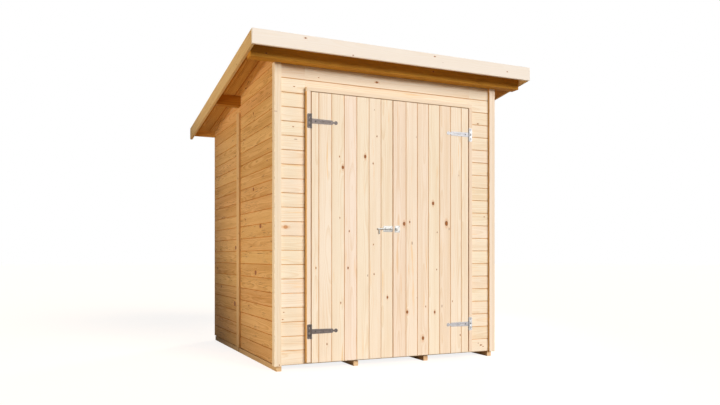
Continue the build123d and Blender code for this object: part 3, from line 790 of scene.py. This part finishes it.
def dress_timber(name, node, along, face, finish, seed, body="shed", arris=None, knots=None,
                 sides=None):
    """Planed timber from a CAD node: a merged copy with rounded arrises and grain along each length.

    knots gives the knots of each timber by its number; the next mapping gives, by number, the painted shade that
    darkens its sides and back. Where knots is None they are scattered.
    """
    chance = random.Random(seed)
    shape = merged_copy(node)
    bmesh.ops.dissolve_limit(
        shape, angle_limit=math.radians(0.5), verts=shape.verts, edges=shape.edges, delimit=set()
    )
    if arris is None:
        arris = bpy.context.scene.shed_timber.arris
    ease_edges(shape, math.radians(25), arris)
    across = face.cross(along)
    grain_layers(shape)
    joint = shape.verts.layers.float.new("joint")
    for number, timber in enumerate(single_timbers(shape)):
        reaches = [vert.co.dot(along) for vert in timber]
        widths = [vert.co.dot(across) for vert in timber]
        depths = [vert.co.dot(face) for vert in timber]
        origin = along * min(reaches) + across * ((min(widths) + max(widths)) / 2) + face * min(depths)
        if knots is None:
            chosen = scattered_knots(chance, max(reaches) - min(reaches), max(widths) - min(widths), 0.6, 0.007)
            chance.shuffle(chosen)
        else:
            chosen = knots.get(number, ())
        mark_grain(shape, timber, origin, along, face, board_tone(chance), chosen)
        # Painted shade on the sides and back of the chosen timbers, none where they touch the face
        for vert in timber:
            if not any(side.normal.dot(face) > 0.7 for side in vert.link_faces):
                vert[joint] = (sides or {}).get(number, 0.0)
    return keep_piece(shape, name, wood_finish(finish), body, [node], math.radians(20))


def dress_metal(name, node, body, kind):
    """A steel fitting from a CAD node: a merged copy with its sheared edges eased."""
    shape = merged_copy(node)
    ease_edges(shape, math.radians(50), STEEL_EDGE, clamp=True)
    bmesh.ops.dissolve_degenerate(shape, dist=MERGE, edges=shape.edges)
    bmesh.ops.recalc_face_normals(shape, faces=shape.faces)
    return keep_piece(shape, name, galvanised_steel(kind), body, [node], math.radians(18))


def raise_head(shape, centre, out, radius, segments):
    """Draws a round head up from its base circle: the points of the base and the free top face."""
    place = Matrix.Translation(centre) @ out.to_track_quat("Z", "Y").to_matrix().to_4x4()
    base = bmesh.ops.create_circle(shape, cap_ends=True, segments=segments, radius=radius, matrix=place)["verts"]
    drawn = bmesh.ops.extrude_face_region(shape, geom=[base[0].link_faces[0]], use_keep_orig=True)["geom"]
    return base, next(item for item in drawn if isinstance(item, bmesh.types.BMFace))


def shrink(shape, verts, share, centre):
    """Scales points towards a centre."""
    bmesh.ops.scale(shape, verts=verts, vec=(share, share, share), space=Matrix.Translation(-centre))


def add_screw(shape, centre, out, radius, proud):
    """A countersunk screw head with a tapered drive recess, its rim at centre and its crown proud of it."""
    sunk = out * 0.0006
    foot, top = raise_head(shape, centre, out, radius, 16)
    bmesh.ops.translate(shape, verts=top.verts, vec=out * proud * 0.6)
    shrink(shape, top.verts, 0.86, top.calc_center_median())
    for inset, depth in ((0.36, proud * 0.4), (0.05, -radius * 0.12), (0.22, -radius * 0.30)):
        bmesh.ops.inset_region(shape, faces=[top], thickness=radius * inset, depth=depth)
    foot = [vert for vert in foot if vert.is_valid]
    bmesh.ops.translate(shape, verts=foot, vec=-sunk)
    shrink(shape, foot, 0.8, centre - sunk)


def add_nail(shape, centre, out, radius, proud):
    """A small domed nail head."""
    sunk = 0.0005
    top = raise_head(shape, centre - out * sunk, out, radius, 10)[1]
    bmesh.ops.translate(shape, verts=top.verts, vec=out * (sunk + proud * 0.4))
    bmesh.ops.inset_region(shape, faces=[top], thickness=radius * 0.35, depth=proud * 0.6)


# ---------------------------------------------------------------- pieces


# Knots seen on the front: place along X, height, radius. One metre on the radius marks a fresh, pale knot.
FRONT_KNOTS = (
    (-0.796, 0.962, 1.0110), (-0.743, 1.636, 0.0032), (-0.816, 0.345, 0.0030), (-0.809, 0.393, 0.0026),
    (0.797, 1.068, 0.0034), (0.738, 1.777, 0.0040), (-0.736, 1.906, 0.0032), (0.766, 0.088, 0.0050),
    (0.742, 0.104, 0.0026), (0.786, 0.076, 0.0030),
)
HEADER_KNOTS = ((-0.119, 2.000, 0.0070), (0.180, 2.077, 0.0030), (-0.560, 1.985, 0.0026))
# The tones of the front boards differ less than those of the sides
FRONT_SPREAD = 0.55
# Knots seen on the left side: place along Y, height, radius
SIDE_KNOTS = (
    (-0.293, 1.261, 0.0125), (-0.475, 0.983, 0.0160), (-0.349, 0.647, 0.0160), (0.268, 0.380, 0.0200),
    (0.111, 1.619, 0.0110), (-0.293, 1.823, 0.0085), (0.237, 0.835, 0.0150), (0.649, 1.103, 0.0090),
    (0.900, 0.660, 0.0100), (-0.064, 1.048, 0.0070), (0.755, 0.501, 0.0090), (-0.165, 0.391, 0.0070),
    (0.097, 1.857, 0.0090), (-0.640, 1.430, 0.0060), (-0.700, 0.520, 0.0060), (0.480, 1.480, 0.0070),
)


class SHED_OT_wall_boards(bpy.types.Operator):
    """Clads the walls with tongued boards whose joints show as fine grooves"""

    bl_idname = "shed.wall_boards"
    bl_label = "Wall Boards"

    def execute(self, context):
        bottom = front_panel[0].z
        front = wood_finish("front")
        # The side and rear walls take the darker side wood: painted shade
        side = wood_finish("side")
        width = front_panel[1].x - front_panel[0].x
        rows = cladding_rows(bottom, SOFFIT_HEIGHT, 0.0, width)
        for name, node, corner, seed in (
            ("left_front_boards", "front_wall_left", -WALL_SIDE, 11),
            ("right_front_boards", "front_wall_right", WALL_SIDE - width, 12),
        ):
            seen = [(x - corner, z, r) for x, z, r in FRONT_KNOTS]
            clad_panel(
                name, node, TO_FRONT, Vector((corner, FRONT, 0.0)), rows, front, seed, seen, FRONT_SPREAD
            )
        left, right = header_panel[0].x, header_panel[1].x
        rows = cladding_rows(header_panel[0].z, SOFFIT_HEIGHT, 0.0, right - left)
        seen = [(x - left, z, r) for x, z, r in HEADER_KNOTS]
        clad_panel(
            "header_boards", "front_wall_header", TO_FRONT, Vector((left, FRONT, 0.0)), rows, front, 13, seen,
            FRONT_SPREAD,
        )
        reach_front = side_front_panel[0].y
        reach_middle = side_front_panel[1].y
        reach_rear = side_rear_panel[1].y
        for hand, face in (("left", TO_LEFT), ("right", TO_RIGHT)):
            for part, near, far in (("front", reach_front, reach_middle), ("rear", reach_middle, reach_rear)):
                self.clad_side(hand, part, face, near, far, side)
        rows = cladding_rows(bottom, soffit(rear_panel[0].y), 0.0, 2 * WALL_SIDE)
        corner = Vector((WALL_SIDE, rear_panel[1].y, 0.0))
        clad_panel("rear_boards", "rear_wall", TO_REAR, corner, rows, side, 31)
        return {"FINISHED"}

    def clad_side(self, hand, part, face, near, far, finish):
        """One panel of a side wall, kept clear of the purlin that passes through it."""
        along = UP.cross(face)
        start_y = far if along.y < 0 else near
        clear_front, clear_rear = purlin_box[0].y, purlin_box[1].y

        def reach(y):
            return abs(y - start_y)

        def limits(low, high):
            ends = [near, far]
            if low > purlin_box[0].z - LEAST_BOARD:
                ends = [near, min(far, clear_front)] if part == "front" else [max(near, clear_rear), far]
            return min(map(reach, ends)), max(map(reach, ends))

        rows = cladding_rows(side_front_panel[0].z, soffit(near), 0.0, far - near, limits)
        seen = ()
        if hand == "left":
            seen = [(reach(y), z, r) for y, z, r in SIDE_KNOTS if near < y < far]
        corner = Vector((face.x * WALL_SIDE, start_y, 0.0))
        clad_panel(
            f"{hand}_side_{part}_boards", f"{hand}_wall_{part}", face, corner, rows, finish, f"{hand}{part}", seen
        )


# Joints between the door boards along X
LEFT_JOINTS = (-0.574, -0.480, -0.386, -0.292, -0.198, -0.105)
RIGHT_JOINTS = (0.095, 0.189, 0.282, 0.376, 0.470, 0.564)
# Knots seen on the doors: place along X, height, radius
DOOR_KNOTS = (
    (-0.228, 1.462, 0.0085), (-0.398, 1.377, 0.0085), (0.319, 1.153, 0.0090), (0.079, 0.999, 0.0095),
    (0.125, 1.013, 0.0050), (0.433, 1.009, 0.0125), (-0.055, 0.476, 0.0065), (0.105, 0.366, 0.0080),
    (0.333, 0.358, 0.0070), (0.234, 0.172, 0.0095), (-0.359, 0.686, 0.0050), (-0.595, 0.688, 0.0035),
    (-0.137, 1.609, 0.0036), (-0.167, 1.417, 0.0040), (-0.422, 1.450, 0.0034), (-0.350, 0.940, 0.0040),
    (-0.160, 0.641, 0.0038), (-0.413, 0.447, 0.0038), (-0.165, 0.849, 0.0030), (0.354, 1.565, 0.0030),
    (0.354, 0.942, 0.0032), (0.485, 0.433, 0.0032), (0.553, 0.179, 0.0042), (-0.515, 0.170, 0.0040),
    (0.350, 0.669, 0.0032), (0.257, 0.401, 0.0030), (-0.420, 1.030, 0.0030), (0.300, 0.640, 0.0028),
)
# Brightness and warmth of each door board
LEFT_TONES = ((0.2, -0.2), (0.5, 0.1), (-0.2, -0.3), (0.6, 0.9), (0.3, -0.4), (0.4, 0.0), (0.1, -0.2))
RIGHT_TONES = ((-0.1, 0.8), (0.5, 0.3), (-0.2, 0.5), (0.3, -0.5), (-0.4, 0.4), (0.3, 0.0), (0.0, -0.2))
# How far each leaf's last board reaches into the gap where they meet
MEETING_REACH = 0.0015


class SHED_OT_door_boards(bpy.types.Operator):
    """Boards the two door leaves upright, with a chamfer beside each joint"""

    bl_idname = "shed.door_boards"
    bl_label = "Door Boards"

    def execute(self, context):
        for hand, leaf, joints, tones, seed in (
            ("left", left_leaf, LEFT_JOINTS, LEFT_TONES, 5),
            ("right", right_leaf, RIGHT_JOINTS, RIGHT_TONES, 6),
        ):
            self.board_leaf(context, hand, leaf, joints, tones, seed)
        return {"FINISHED"}

    def board_leaf(self, context, hand, leaf, joints, tones, seed):
        settings = context.scene.shed_doors
        chance = random.Random(seed)
        low, high = leaf
        edges = [low.x, *joints, high.x]
        if hand == "left":
            edges[-1] += MEETING_REACH
        else:
            edges[0] -= MEETING_REACH
        thickness = high.y - low.y
        shape = bmesh.new()
        for index, (left, right) in enumerate(zip(edges, edges[1:])):
            middle = (left + right) / 2
            outline = board_outline(
                right - left, thickness, settings.groove, settings.gap, index > 0, index < len(edges) - 2
            )
            knots = [(z - low.z, middle - x, radius) for x, z, radius in DOOR_KNOTS if left < x < right]
            knots.sort(key=lambda knot: -knot[2])
            tone = Vector((*tones[index], chance.uniform(0, 400)))
            lay_board(
                shape, Vector((middle, high.y, low.z)), UP, TO_FRONT, high.z - low.z, outline, tone, knots
            )
        keep_piece(
            shape, f"{hand}_leaf_boards", wood_finish("door"), f"{hand}_door", [f"{hand}_door_boards"]
        )


BRACE_WIDTH = 0.095


class SHED_OT_door_backs(bpy.types.Operator):
    """Ledges and braces behind the door boards"""

    bl_idname = "shed.door_backs"
    bl_label = "Door Ledges and Braces"

    def execute(self, context):
        for hand, side in (("left", 1.0), ("right", -1.0)):
            body = f"{hand}_door"
            dress_timber(
                f"{hand}_ledge_timber", f"{hand}_door_ledges", TO_RIGHT, TO_REAR, "trim", 41, body
            )
            low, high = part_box(f"{hand}_door_braces")
            ledge_low, ledge_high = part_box(f"{hand}_door_ledges")
            ledge_width = (ledge_high.z - ledge_low.z - (high.z - low.z)) / 2
            rise = (high.z - low.z - ledge_width) / 2
            slant = Vector((side * (high.x - low.x - BRACE_WIDTH), 0.0, rise)).normalized()
            dress_timber(
                f"{hand}_brace_timber", f"{hand}_door_braces", slant, TO_REAR, "trim", 43, body
            )
        return {"FINISHED"}


# Knots seen on the front fascia: place along it, across it, radius
FASCIA_KNOTS = ((0.354, 0.030, 0.0045), (1.321, 0.030, 0.0040), (1.946, -0.006, 0.0034), (0.690, -0.040, 0.0030))
# The knots of the roof board that shows most, and the place of its left edge along X
SEEN_ROOF_KNOTS = ((0.165, 0.006, 0.0110), (1.25, -0.02, 0.005))
SEEN_ROOF_BOARD = -0.910
FELT_SHEET = 0.001


class SHED_OT_roof(bpy.types.Operator):
    """Roof boards seen from below, felt courses above and the boards round the edge"""

    bl_idname = "shed.roof"
    bl_label = "Roof"

    def execute(self, context):
        self.lay_roof_boards(context)
        self.lay_felt(context)
        dress_timber(
            "front_fascia_board", "front_fascia", TO_RIGHT, TO_FRONT, "edge", 51,
            knots={0: FASCIA_KNOTS},
        )
        # The rear fascia takes the darker wood under the roof: painted shade
        dress_timber("rear_fascia_board", "rear_fascia", TO_RIGHT, TO_REAR, "roof", 52)
        dress_timber("barge_timber", "barge_boards", roof_slope()[0], TO_LEFT, "barge", 53)
        return {"FINISHED"}

    def lay_roof_boards(self, context):
        settings = context.scene.shed_roof
        chance = random.Random(61)
        low, high = roof_box
        downhill, outside = roof_slope()
        steep = math.cos(settings.pitch)
        thickness = (high.z - soffit(low.y)) * steep
        cuts = [(Vector((0.0, low.y, 0.0)), TO_FRONT), (Vector((0.0, high.y, 0.0)), TO_REAR)]
        first = SEEN_ROOF_BOARD - settings.board_pitch
        edges = [low.x] + [first + settings.board_pitch * step for step in range(24)]
        edges = [edge for edge in edges if edge < high.x - 0.01] + [high.x]
        shape = bmesh.new()
        start_y = low.y - 0.01
        for index, (left, right) in enumerate(zip(edges, edges[1:])):
            outline = board_outline(
                right - left, thickness, settings.groove, settings.gap, index < len(edges) - 2, index > 0
            )
            start = Vector(((left + right) / 2, start_y, soffit(start_y))) + outside * thickness
            length = (high.y - low.y) / steep + 0.03
            knots = scattered_knots(chance, length, right - left, 0.5, 0.008)
            if index == 1:
                knots = list(SEEN_ROOF_KNOTS)
            chance.shuffle(knots)
            lay_board(shape, start, downhill, -outside, length, outline, board_tone(chance), knots, cuts)
        # The underboards take the darker wood under the roof: painted shade
        keep_piece(shape, "roof_underboards", wood_finish("roof"), "shed", ["roof_boards"])

    def lay_felt(self, context):
        settings = context.scene.shed_roof
        chance = random.Random(62)
        low, high = felt_box
        slope = math.tan(settings.pitch)
        ground = high.z - 2 * FELT_SHEET
        span = high.y - low.y
        step = (span - settings.felt_lap) / settings.felt_courses
        shape = bmesh.new()
        for course in range(settings.felt_courses):
            rear = high.y - step * course
            front = max(low.y, rear - step - settings.felt_lap)
            size = Vector((high.x - low.x, rear - front))
            grid = bmesh.ops.create_grid(shape, x_segments=60, y_segments=16, size=0.5)["verts"]
            faces = list({side for vert in grid for side in vert.link_faces})
            phase = chance.uniform(0, 6)
            for vert in grid:
                x = vert.co.x * size.x + (low.x + high.x) / 2
                y = (vert.co.y + 0.5) * size.y + front
                lift = 0.0
                if course:
                    lift = FELT_SHEET * max(0.0, min(1.0, (y - (rear - settings.felt_lap - 0.04)) / 0.04))
                ripple = 0.00012 * math.sin(9 * x + phase) * math.sin(7 * y + 2 * phase)
                edge = min(x - low.x, high.x - x, y - low.y, high.y - y)
                ripple *= max(0.0, min(1.0, edge / 0.05))
                vert.co = Vector((x, y, ground - (y - low.y) * slope + lift + ripple))
            bmesh.ops.solidify(shape, geom=faces, thickness=-FELT_SHEET + 0.00015)
        bmesh.ops.recalc_face_normals(shape, faces=shape.faces)
        keep_piece(shape, "felt_courses", mineral_felt(), "shed", ["roof_felt"])
        nails = bmesh.new()
        for course in range(1, settings.felt_courses):
            y = high.y - step * course - 0.018
            for number in range(32):
                x = low.x + 0.03 + (high.x - low.x - 0.06) * number / 31 + chance.uniform(-0.006, 0.006)
                z = ground - (y - low.y) * slope + 2 * FELT_SHEET - 0.0002
                add_nail(nails, Vector((x, y, z)), roof_slope()[1], 0.0038, 0.0007)
        keep_piece(nails, "felt_nails", galvanised_steel("bright_zinc"), "shed")


FLOOR_GROOVE = 0.0007
FLOOR_GAP = 0.0008


class SHED_OT_floor(bpy.types.Operator):
    """Floor boards across the bearers"""

    bl_idname = "shed.floor"
    bl_label = "Floor"

    def execute(self, context):
        chance = random.Random(71)
        low, high = floor_box
        pitch = context.scene.shed_cladding.board_pitch
        edges = [low.y]
        while edges[-1] + pitch < high.y - LEAST_BOARD:
            edges.append(edges[-1] + pitch)
        edges.append(high.y)
        shape = bmesh.new()
        for index, (front, rear) in enumerate(zip(edges, edges[1:])):
            tongued, slotted = index < len(edges) - 2, index > 0
            outline = board_outline(rear - front, high.z - low.z, FLOOR_GROOVE, FLOOR_GAP, tongued, slotted)
            start = Vector((low.x, (front + rear) / 2, low.z))
            knots = scattered_knots(chance, high.x - low.x, rear - front, 0.45, 0.009)
            chance.shuffle(knots)
            lay_board(shape, start, TO_RIGHT, UP, high.x - low.x, outline, board_tone(chance), knots)
        keep_piece(shape, "floor_planks", wood_finish("sawn"), "shed", ["floor_boards"])
        dress_timber("bearer_timber", "floor_bearers", TO_REAR, UP, "sawn", 72, arris=0.0012)
        return {"FINISHED"}


class SHED_OT_trims(bpy.types.Operator):
    """Corner boards, cover strips and the door frame"""

    bl_idname = "shed.trims"
    bl_label = "Trims and Door Frame"

    def execute(self, context):
        strip_knots = {0: ((0.010, 0.0, 0.0026),)}
        # The last column is painted shade on the sides and back of each timber, by number: the jambs and the right
        # corner strip
        for name, node, along, face, finish, seed, knots, sides in (
            ("corner_board_timber", "side_corner_boards", UP, TO_LEFT, "trim", 81, {}, {}),
            ("corner_strip_timber", "front_corner_strips", UP, TO_FRONT, "trim", 82, strip_knots, {1: 1.3}),
            ("cover_strip_timber", "side_cover_strips", UP, TO_LEFT, "barge", 83, None, {}),
            ("jamb_timber", "door_jambs", UP, TO_FRONT, "trim", 84, {}, {0: 1.4, 1: 0.5}),
            ("head_timber", "door_head", TO_RIGHT, TO_FRONT, "trim", 85, {}, {}),
            ("sill_timber", "door_sill", TO_RIGHT, UP, "trim", 86, {}, {}),
        ):
            dress_timber(name, node, along, face, finish, seed, knots=knots, sides=sides)
        return {"FINISHED"}


class SHED_OT_framing(bpy.types.Operator):
    """Plates, posts, studs and purlins behind the cladding"""

    bl_idname = "shed.framing"
    bl_label = "Framing"

    def execute(self, context):
        for name, node, along, face in (
            ("side_bottom_plate_timber", "side_bottom_plates", TO_REAR, UP),
            ("cross_bottom_plate_timber", "cross_bottom_plates", TO_RIGHT, UP),
            ("side_top_plate_timber", "side_top_plates", roof_slope()[0], TO_RIGHT),
            ("cross_top_plate_timber", "cross_top_plates", TO_RIGHT, TO_REAR),
            ("corner_post_timber", "corner_posts", UP, TO_REAR),
            ("side_stud_timber", "side_studs", UP, TO_RIGHT),
            ("rear_stud_timber", "rear_studs", UP, TO_FRONT),
        ):
            dress_timber(name, node, along, face, "sawn", name)
        for name, node, seed in (
            ("front_purlin_timber", "front_purlin", 91), ("middle_purlin_timber", "middle_purlin", 92)
        ):
            # The purlins take the much darker purlin wood: painted shade
            dress_timber(name, node, TO_RIGHT, TO_FRONT, "purlin", seed, arris=0.002)
        return {"FINISHED"}


class SHED_OT_fittings(bpy.types.Operator):
    """Tee hinges, barrel bolt and keeper in galvanised steel"""

    bl_idname = "shed.fittings"
    bl_label = "Hinges and Bolt"

    def execute(self, context):
        # The left hinges and right straps take darker copies of the same zinc: painted shade
        for node, body, kind in (
            ("left_hinge_plates", "shed", "dull_zinc"),
            ("right_hinge_plates", "shed", "bright_zinc"),
            ("left_hinge_straps", "left_door", "dull_zinc"),
            ("right_hinge_straps", "right_door", "worn_zinc"),
            ("bolt_plate", "left_door", "zinc"),
            ("bolt_keeper", "right_door", "zinc"),
            ("bolt_rod", "bolt", "zinc"),
        ):
            dress_metal(f"{node}_steel", node, body, kind)
        return {"FINISHED"}


# Heights of the hinges, and where their screws sit from the pin and from the hinge's middle
HINGE_HEIGHTS = (0.260, 1.677)
STRAP_SCREWS = (0.030, 0.084, 0.134, 0.180)
PLATE_SCREWS = (-0.034, 0.0, 0.034)
HINGE_STEEL = 0.0022
BOLT_STEEL = 0.002
KNUCKLE_RADIUS = 0.0045
KNUCKLE_RELIEF = 0.0049


class SHED_OT_fixings(bpy.types.Operator):
    """Screws in the hinges and the bolt, nails in the boards"""

    bl_idname = "shed.fixings"
    bl_label = "Screws and Nails"

    def execute(self, context):
        settings = context.scene.shed_fittings
        self.fix_hinges(settings)
        self.fix_bolt()
        self.nail_boards(settings)
        return {"FINISHED"}

    def fix_hinges(self, settings):
        plate_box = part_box("left_hinge_plates")
        face = left_leaf[0].y - HINGE_STEEL + 0.0003
        pin = plate_box[1].x - KNUCKLE_RADIUS
        plate_middle = (plate_box[0].x + pin - KNUCKLE_RELIEF) / 2
        # The left screws take the darker zinc of the left hinges: painted shade
        for hand, side, zinc in (("left", 1.0, "dull_zinc"), ("right", -1.0, "bright_zinc")):
            heads = {kind: bmesh.new() for kind in ("strap_dark", "strap", "plate_dark", "plate")}
            for height in HINGE_HEIGHTS:
                for reach in STRAP_SCREWS:
                    spot = Vector((side * (pin + reach), face, height))
                    kind = "strap_dark" if reach == STRAP_SCREWS[0] else "strap"
                    add_screw(heads[kind], spot, TO_FRONT, settings.screw_radius, 0.0006)
                for rise in PLATE_SCREWS:
                    spot = Vector((side * plate_middle, face, height + rise))
                    kind = "plate_dark" if rise == 0.0 else "plate"
                    add_screw(heads[kind], spot, TO_FRONT, settings.screw_radius, 0.0006)
            bright, dark = galvanised_steel(zinc), dark_screw()
            for kind, shape in heads.items():
                body = f"{hand}_door" if kind.startswith("strap") else "shed"
                finish = dark if kind.endswith("dark") else bright
                keep_piece(shape, f"{hand}_{kind}_screws", finish, body)

    def fix_bolt(self):
        for name, box, inset, body, finish in (
            ("bolt_screws", bolt_box, 0.006, "left_door", galvanised_steel()),
            ("keeper_screws", keeper_box, 0.0045, "right_door", dark_screw()),
        ):
            low, high = box
            shape = bmesh.new()
            for x in (low.x + inset, high.x - inset):
                for z in (low.z + 0.007, high.z - 0.007):
                    spot = Vector((x, left_leaf[0].y - BOLT_STEEL, z))
                    add_screw(shape, spot, TO_FRONT, 0.0030, 0.0007)
            keep_piece(shape, name, finish, body)

    def nail_boards(self, settings):
        chance = random.Random(95)
        shape, dark = bmesh.new(), bmesh.new()
        radius = settings.nail_radius
        pitch = bpy.context.scene.shed_cladding.board_pitch
        low = bpy.context.scene.shed_cladding.first_joint

        def nail(x, y, z, out):
            spot = Vector((x, y, z + chance.uniform(-0.003, 0.003)))
            add_nail(shape, spot, out, radius, 0.0003)

        for out, side in ((TO_LEFT, -1.0), (TO_RIGHT, 1.0)):
            for row in range(19):
                z = low + pitch * (row + 0.5)
                for y in (strip_box[1].y + 0.014, side_rear_panel[1].y - 0.018):
                    if z < soffit(y) - 0.03:
                        nail(side * WALL_SIDE, y + chance.uniform(-0.003, 0.003), z, out)
                spot = Vector((side * WALL_SIDE, strip_box[0].y - 0.015, z + chance.uniform(-0.012, 0.012)))
                if z < soffit(spot.y) - 0.03:
                    add_nail(dark, spot, out, radius * 2.0, 0.0004)
            for z in (0.12, 0.50, 0.90, 1.30, 1.70):
                nail(side * -strip_box[0].x, (strip_box[0].y + strip_box[1].y) / 2, z, out)
                nail(side * -corner_box[0].x, corner_box[0].y + 0.034, z + 0.03, out)
        for row in range(18):
            z = low + pitch * (row + 0.5)
            for x in (-0.35, 0.35, -0.85, 0.85):
                nail(x, rear_panel[1].y, z, TO_REAR)
        keep_piece(dark, "dark_board_nails", dark_screw(), "shed")
        keep_piece(shape, "board_nails", galvanised_steel("bright_zinc"), "shed")


FILL_PLACE = (-4.86, -0.8, 0.6)
FILL_AIM = (-WALL_SIDE, -1.1, 1.8)
REAR_PLACE = (5.2, 5.6, 2.9)
REAR_AIM = (0.3, 0.3, 1.1)
# The camera behind the photograph
CAMERA_PLACE = (-2.1973, -5.1150, 0.770)
CAMERA_TURN = math.radians(-24.56)
FOCAL_LENGTH = 33.40
LENS_SHIFT = 0.0740


class SHED_OT_studio(bpy.types.Operator):
    """Pale floor, soft light and the camera"""

    bl_idname = "shed.studio"
    bl_label = "Studio"

    def execute(self, context):
        settings = context.scene.shed_studio
        self.set_floor(settings)
        self.set_surround(context, settings)
        self.set_lamps(settings)
        self.set_camera(context)
        context.scene.view_settings.view_transform = "Standard"
        return {"FINISHED"}

    def seen_directly(self, sheet):
        path = sheet.node("ShaderNodeLightPath").outputs
        direct = sheet.math("MAXIMUM", path["Is Camera Ray"], path["Is Glossy Ray"])
        return sheet.math("MAXIMUM", direct, path["Is Transmission Ray"])

    def set_floor(self, settings):
        shape = bmesh.new()
        bmesh.ops.create_circle(shape, cap_ends=True, segments=96, radius=60.0)
        mesh = bpy.data.meshes.new("studio_floor")
        shape.to_mesh(mesh)
        shape.free()
        finish, sheet, shader = start_finish("studio floor")
        shader.inputs["Base Color"].default_value = colour(settings.floor)
        shader.inputs["Roughness"].default_value = 0.9
        shader.inputs["Specular IOR Level"].default_value = 0.1
        lift = sheet.math("MULTIPLY", self.seen_directly(sheet), settings.floor_lift)
        bright = sheet.node("ShaderNodeEmission", Strength=lift)
        both = sheet.node("ShaderNodeAddShader")
        sheet.feed(both.inputs[0], shader.outputs[0])
        sheet.feed(both.inputs[1], bright.outputs[0])
        result = finish.node_tree.nodes["Material Output"]
        sheet.feed(result.inputs["Surface"], both.outputs[0])
        mesh.materials.append(finish)
        floor = bpy.data.objects.new("studio_floor", mesh)
        bpy.context.scene.collection.objects.link(floor)

    def set_surround(self, context, settings):
        world = bpy.data.worlds.new("studio surround")
        world.use_nodes = True
        sheet = Formula(world.node_tree)
        result = world.node_tree.nodes["World Output"]
        around = world.node_tree.nodes["Background"]
        around.inputs["Color"].default_value = colour(settings.surround)
        white = sheet.node("ShaderNodeBackground")
        white.inputs["Color"].default_value = (1.0, 1.0, 1.0, 1.0)
        blend = sheet.node("ShaderNodeMixShader")
        sheet.feed(blend.inputs[0], self.seen_directly(sheet))
        sheet.feed(blend.inputs[1], around.outputs[0])
        sheet.feed(blend.inputs[2], white.outputs[0])
        sheet.feed(result.inputs["Surface"], blend.outputs[0])
        context.scene.world = world

    def hang_lamp(self, lamp, name, toward, place):
        """Hangs a lamp at place, its beam running against toward."""
        holder = bpy.data.objects.new(name, lamp)
        holder.location = place
        holder.rotation_euler = toward.to_track_quat("Z", "Y").to_euler()
        bpy.context.scene.collection.objects.link(holder)
        return holder

    def hang_spot(self, name, strength, tint, spread, blend, size, place, aim):
        """Hangs a soft spot lamp, spread degrees wide, that shines from place towards aim."""
        lamp = bpy.data.lights.new(name, "SPOT")
        lamp.energy = strength
        lamp.color = tint
        lamp.spot_size = math.radians(spread)
        lamp.spot_blend = blend
        lamp.shadow_soft_size = size
        spot = self.hang_lamp(lamp, name, Vector(place) - Vector(aim), place)
        spot.visible_camera = False
        return spot

    def set_lamps(self, settings):
        lamp = bpy.data.lights.new("key", "SUN")
        lamp.energy = settings.key_strength
        lamp.angle = settings.key_spread
        lamp.color = (1.0, 0.985, 0.96)
        level = math.cos(settings.key_height)
        toward = Vector(
            (level * math.sin(settings.key_turn), -level * math.cos(settings.key_turn), math.sin(settings.key_height))
        )
        key = self.hang_lamp(lamp, "key", toward, toward * 8.0)
        fill = self.hang_spot(
            "fill", settings.fill_strength, (1.0, 0.83, 0.60), 66, 0.4, 0.5, FILL_PLACE, FILL_AIM
        )
        rear = self.hang_spot(
            "rear_fill", settings.rear_strength, (1.0, 0.95, 0.88), 34, 0.6, 1.2, REAR_PLACE, REAR_AIM
        )

    def set_camera(self, context):
        lens = bpy.data.cameras.new("camera")
        lens.sensor_width = 36.0
        lens.lens = FOCAL_LENGTH
        lens.shift_y = LENS_SHIFT
        camera = bpy.data.objects.new("camera", lens)
        camera.location = CAMERA_PLACE
        camera.rotation_euler = (math.radians(90.0), 0.0, CAMERA_TURN)
        context.scene.collection.objects.link(camera)
        context.scene.camera = camera


class SHED_PT_sidebar(bpy.types.Panel):
    """Lists the pieces of the shed with their settings"""

    bl_idname = "SHED_PT_sidebar"
    bl_label = "Garden Shed"
    bl_space_type = "VIEW_3D"
    bl_region_type = "UI"
    bl_category = "Garden Shed"

    def draw(self, context):
        layout = self.layout
        for name, group in SETTINGS.items():
            box = layout.box()
            box.label(text=name.replace("shed_", "").title())
            for field in group.__annotations__:
                box.prop(getattr(context.scene, name), field)
        column = layout.column()
        for operator in OPERATORS:
            column.operator(operator.bl_idname)


OPERATORS = (
    SHED_OT_wall_boards,
    SHED_OT_door_boards,
    SHED_OT_door_backs,
    SHED_OT_roof,
    SHED_OT_floor,
    SHED_OT_trims,
    SHED_OT_framing,
    SHED_OT_fittings,
    SHED_OT_fixings,
    SHED_OT_studio,
)


def register():
    for name, group in SETTINGS.items():
        bpy.utils.register_class(group)
        setattr(bpy.types.Scene, name, PointerProperty(type=group))
    for operator in OPERATORS:
        bpy.utils.register_class(operator)
    bpy.utils.register_class(SHED_PT_sidebar)


def unregister():
    bpy.utils.unregister_class(SHED_PT_sidebar)
    for operator in reversed(OPERATORS):
        bpy.utils.unregister_class(operator)
    for name, group in reversed(SETTINGS.items()):
        delattr(bpy.types.Scene, name)
        bpy.utils.unregister_class(group)


def main():
    register()
    bpy.ops.shed.wall_boards()
    bpy.ops.shed.door_boards()
    bpy.ops.shed.door_backs()
    bpy.ops.shed.roof()
    bpy.ops.shed.floor()
    bpy.ops.shed.trims()
    bpy.ops.shed.framing()
    bpy.ops.shed.fittings()
    bpy.ops.shed.fixings()
    bpy.ops.shed.studio()


if __name__ == "__main__":
    main()
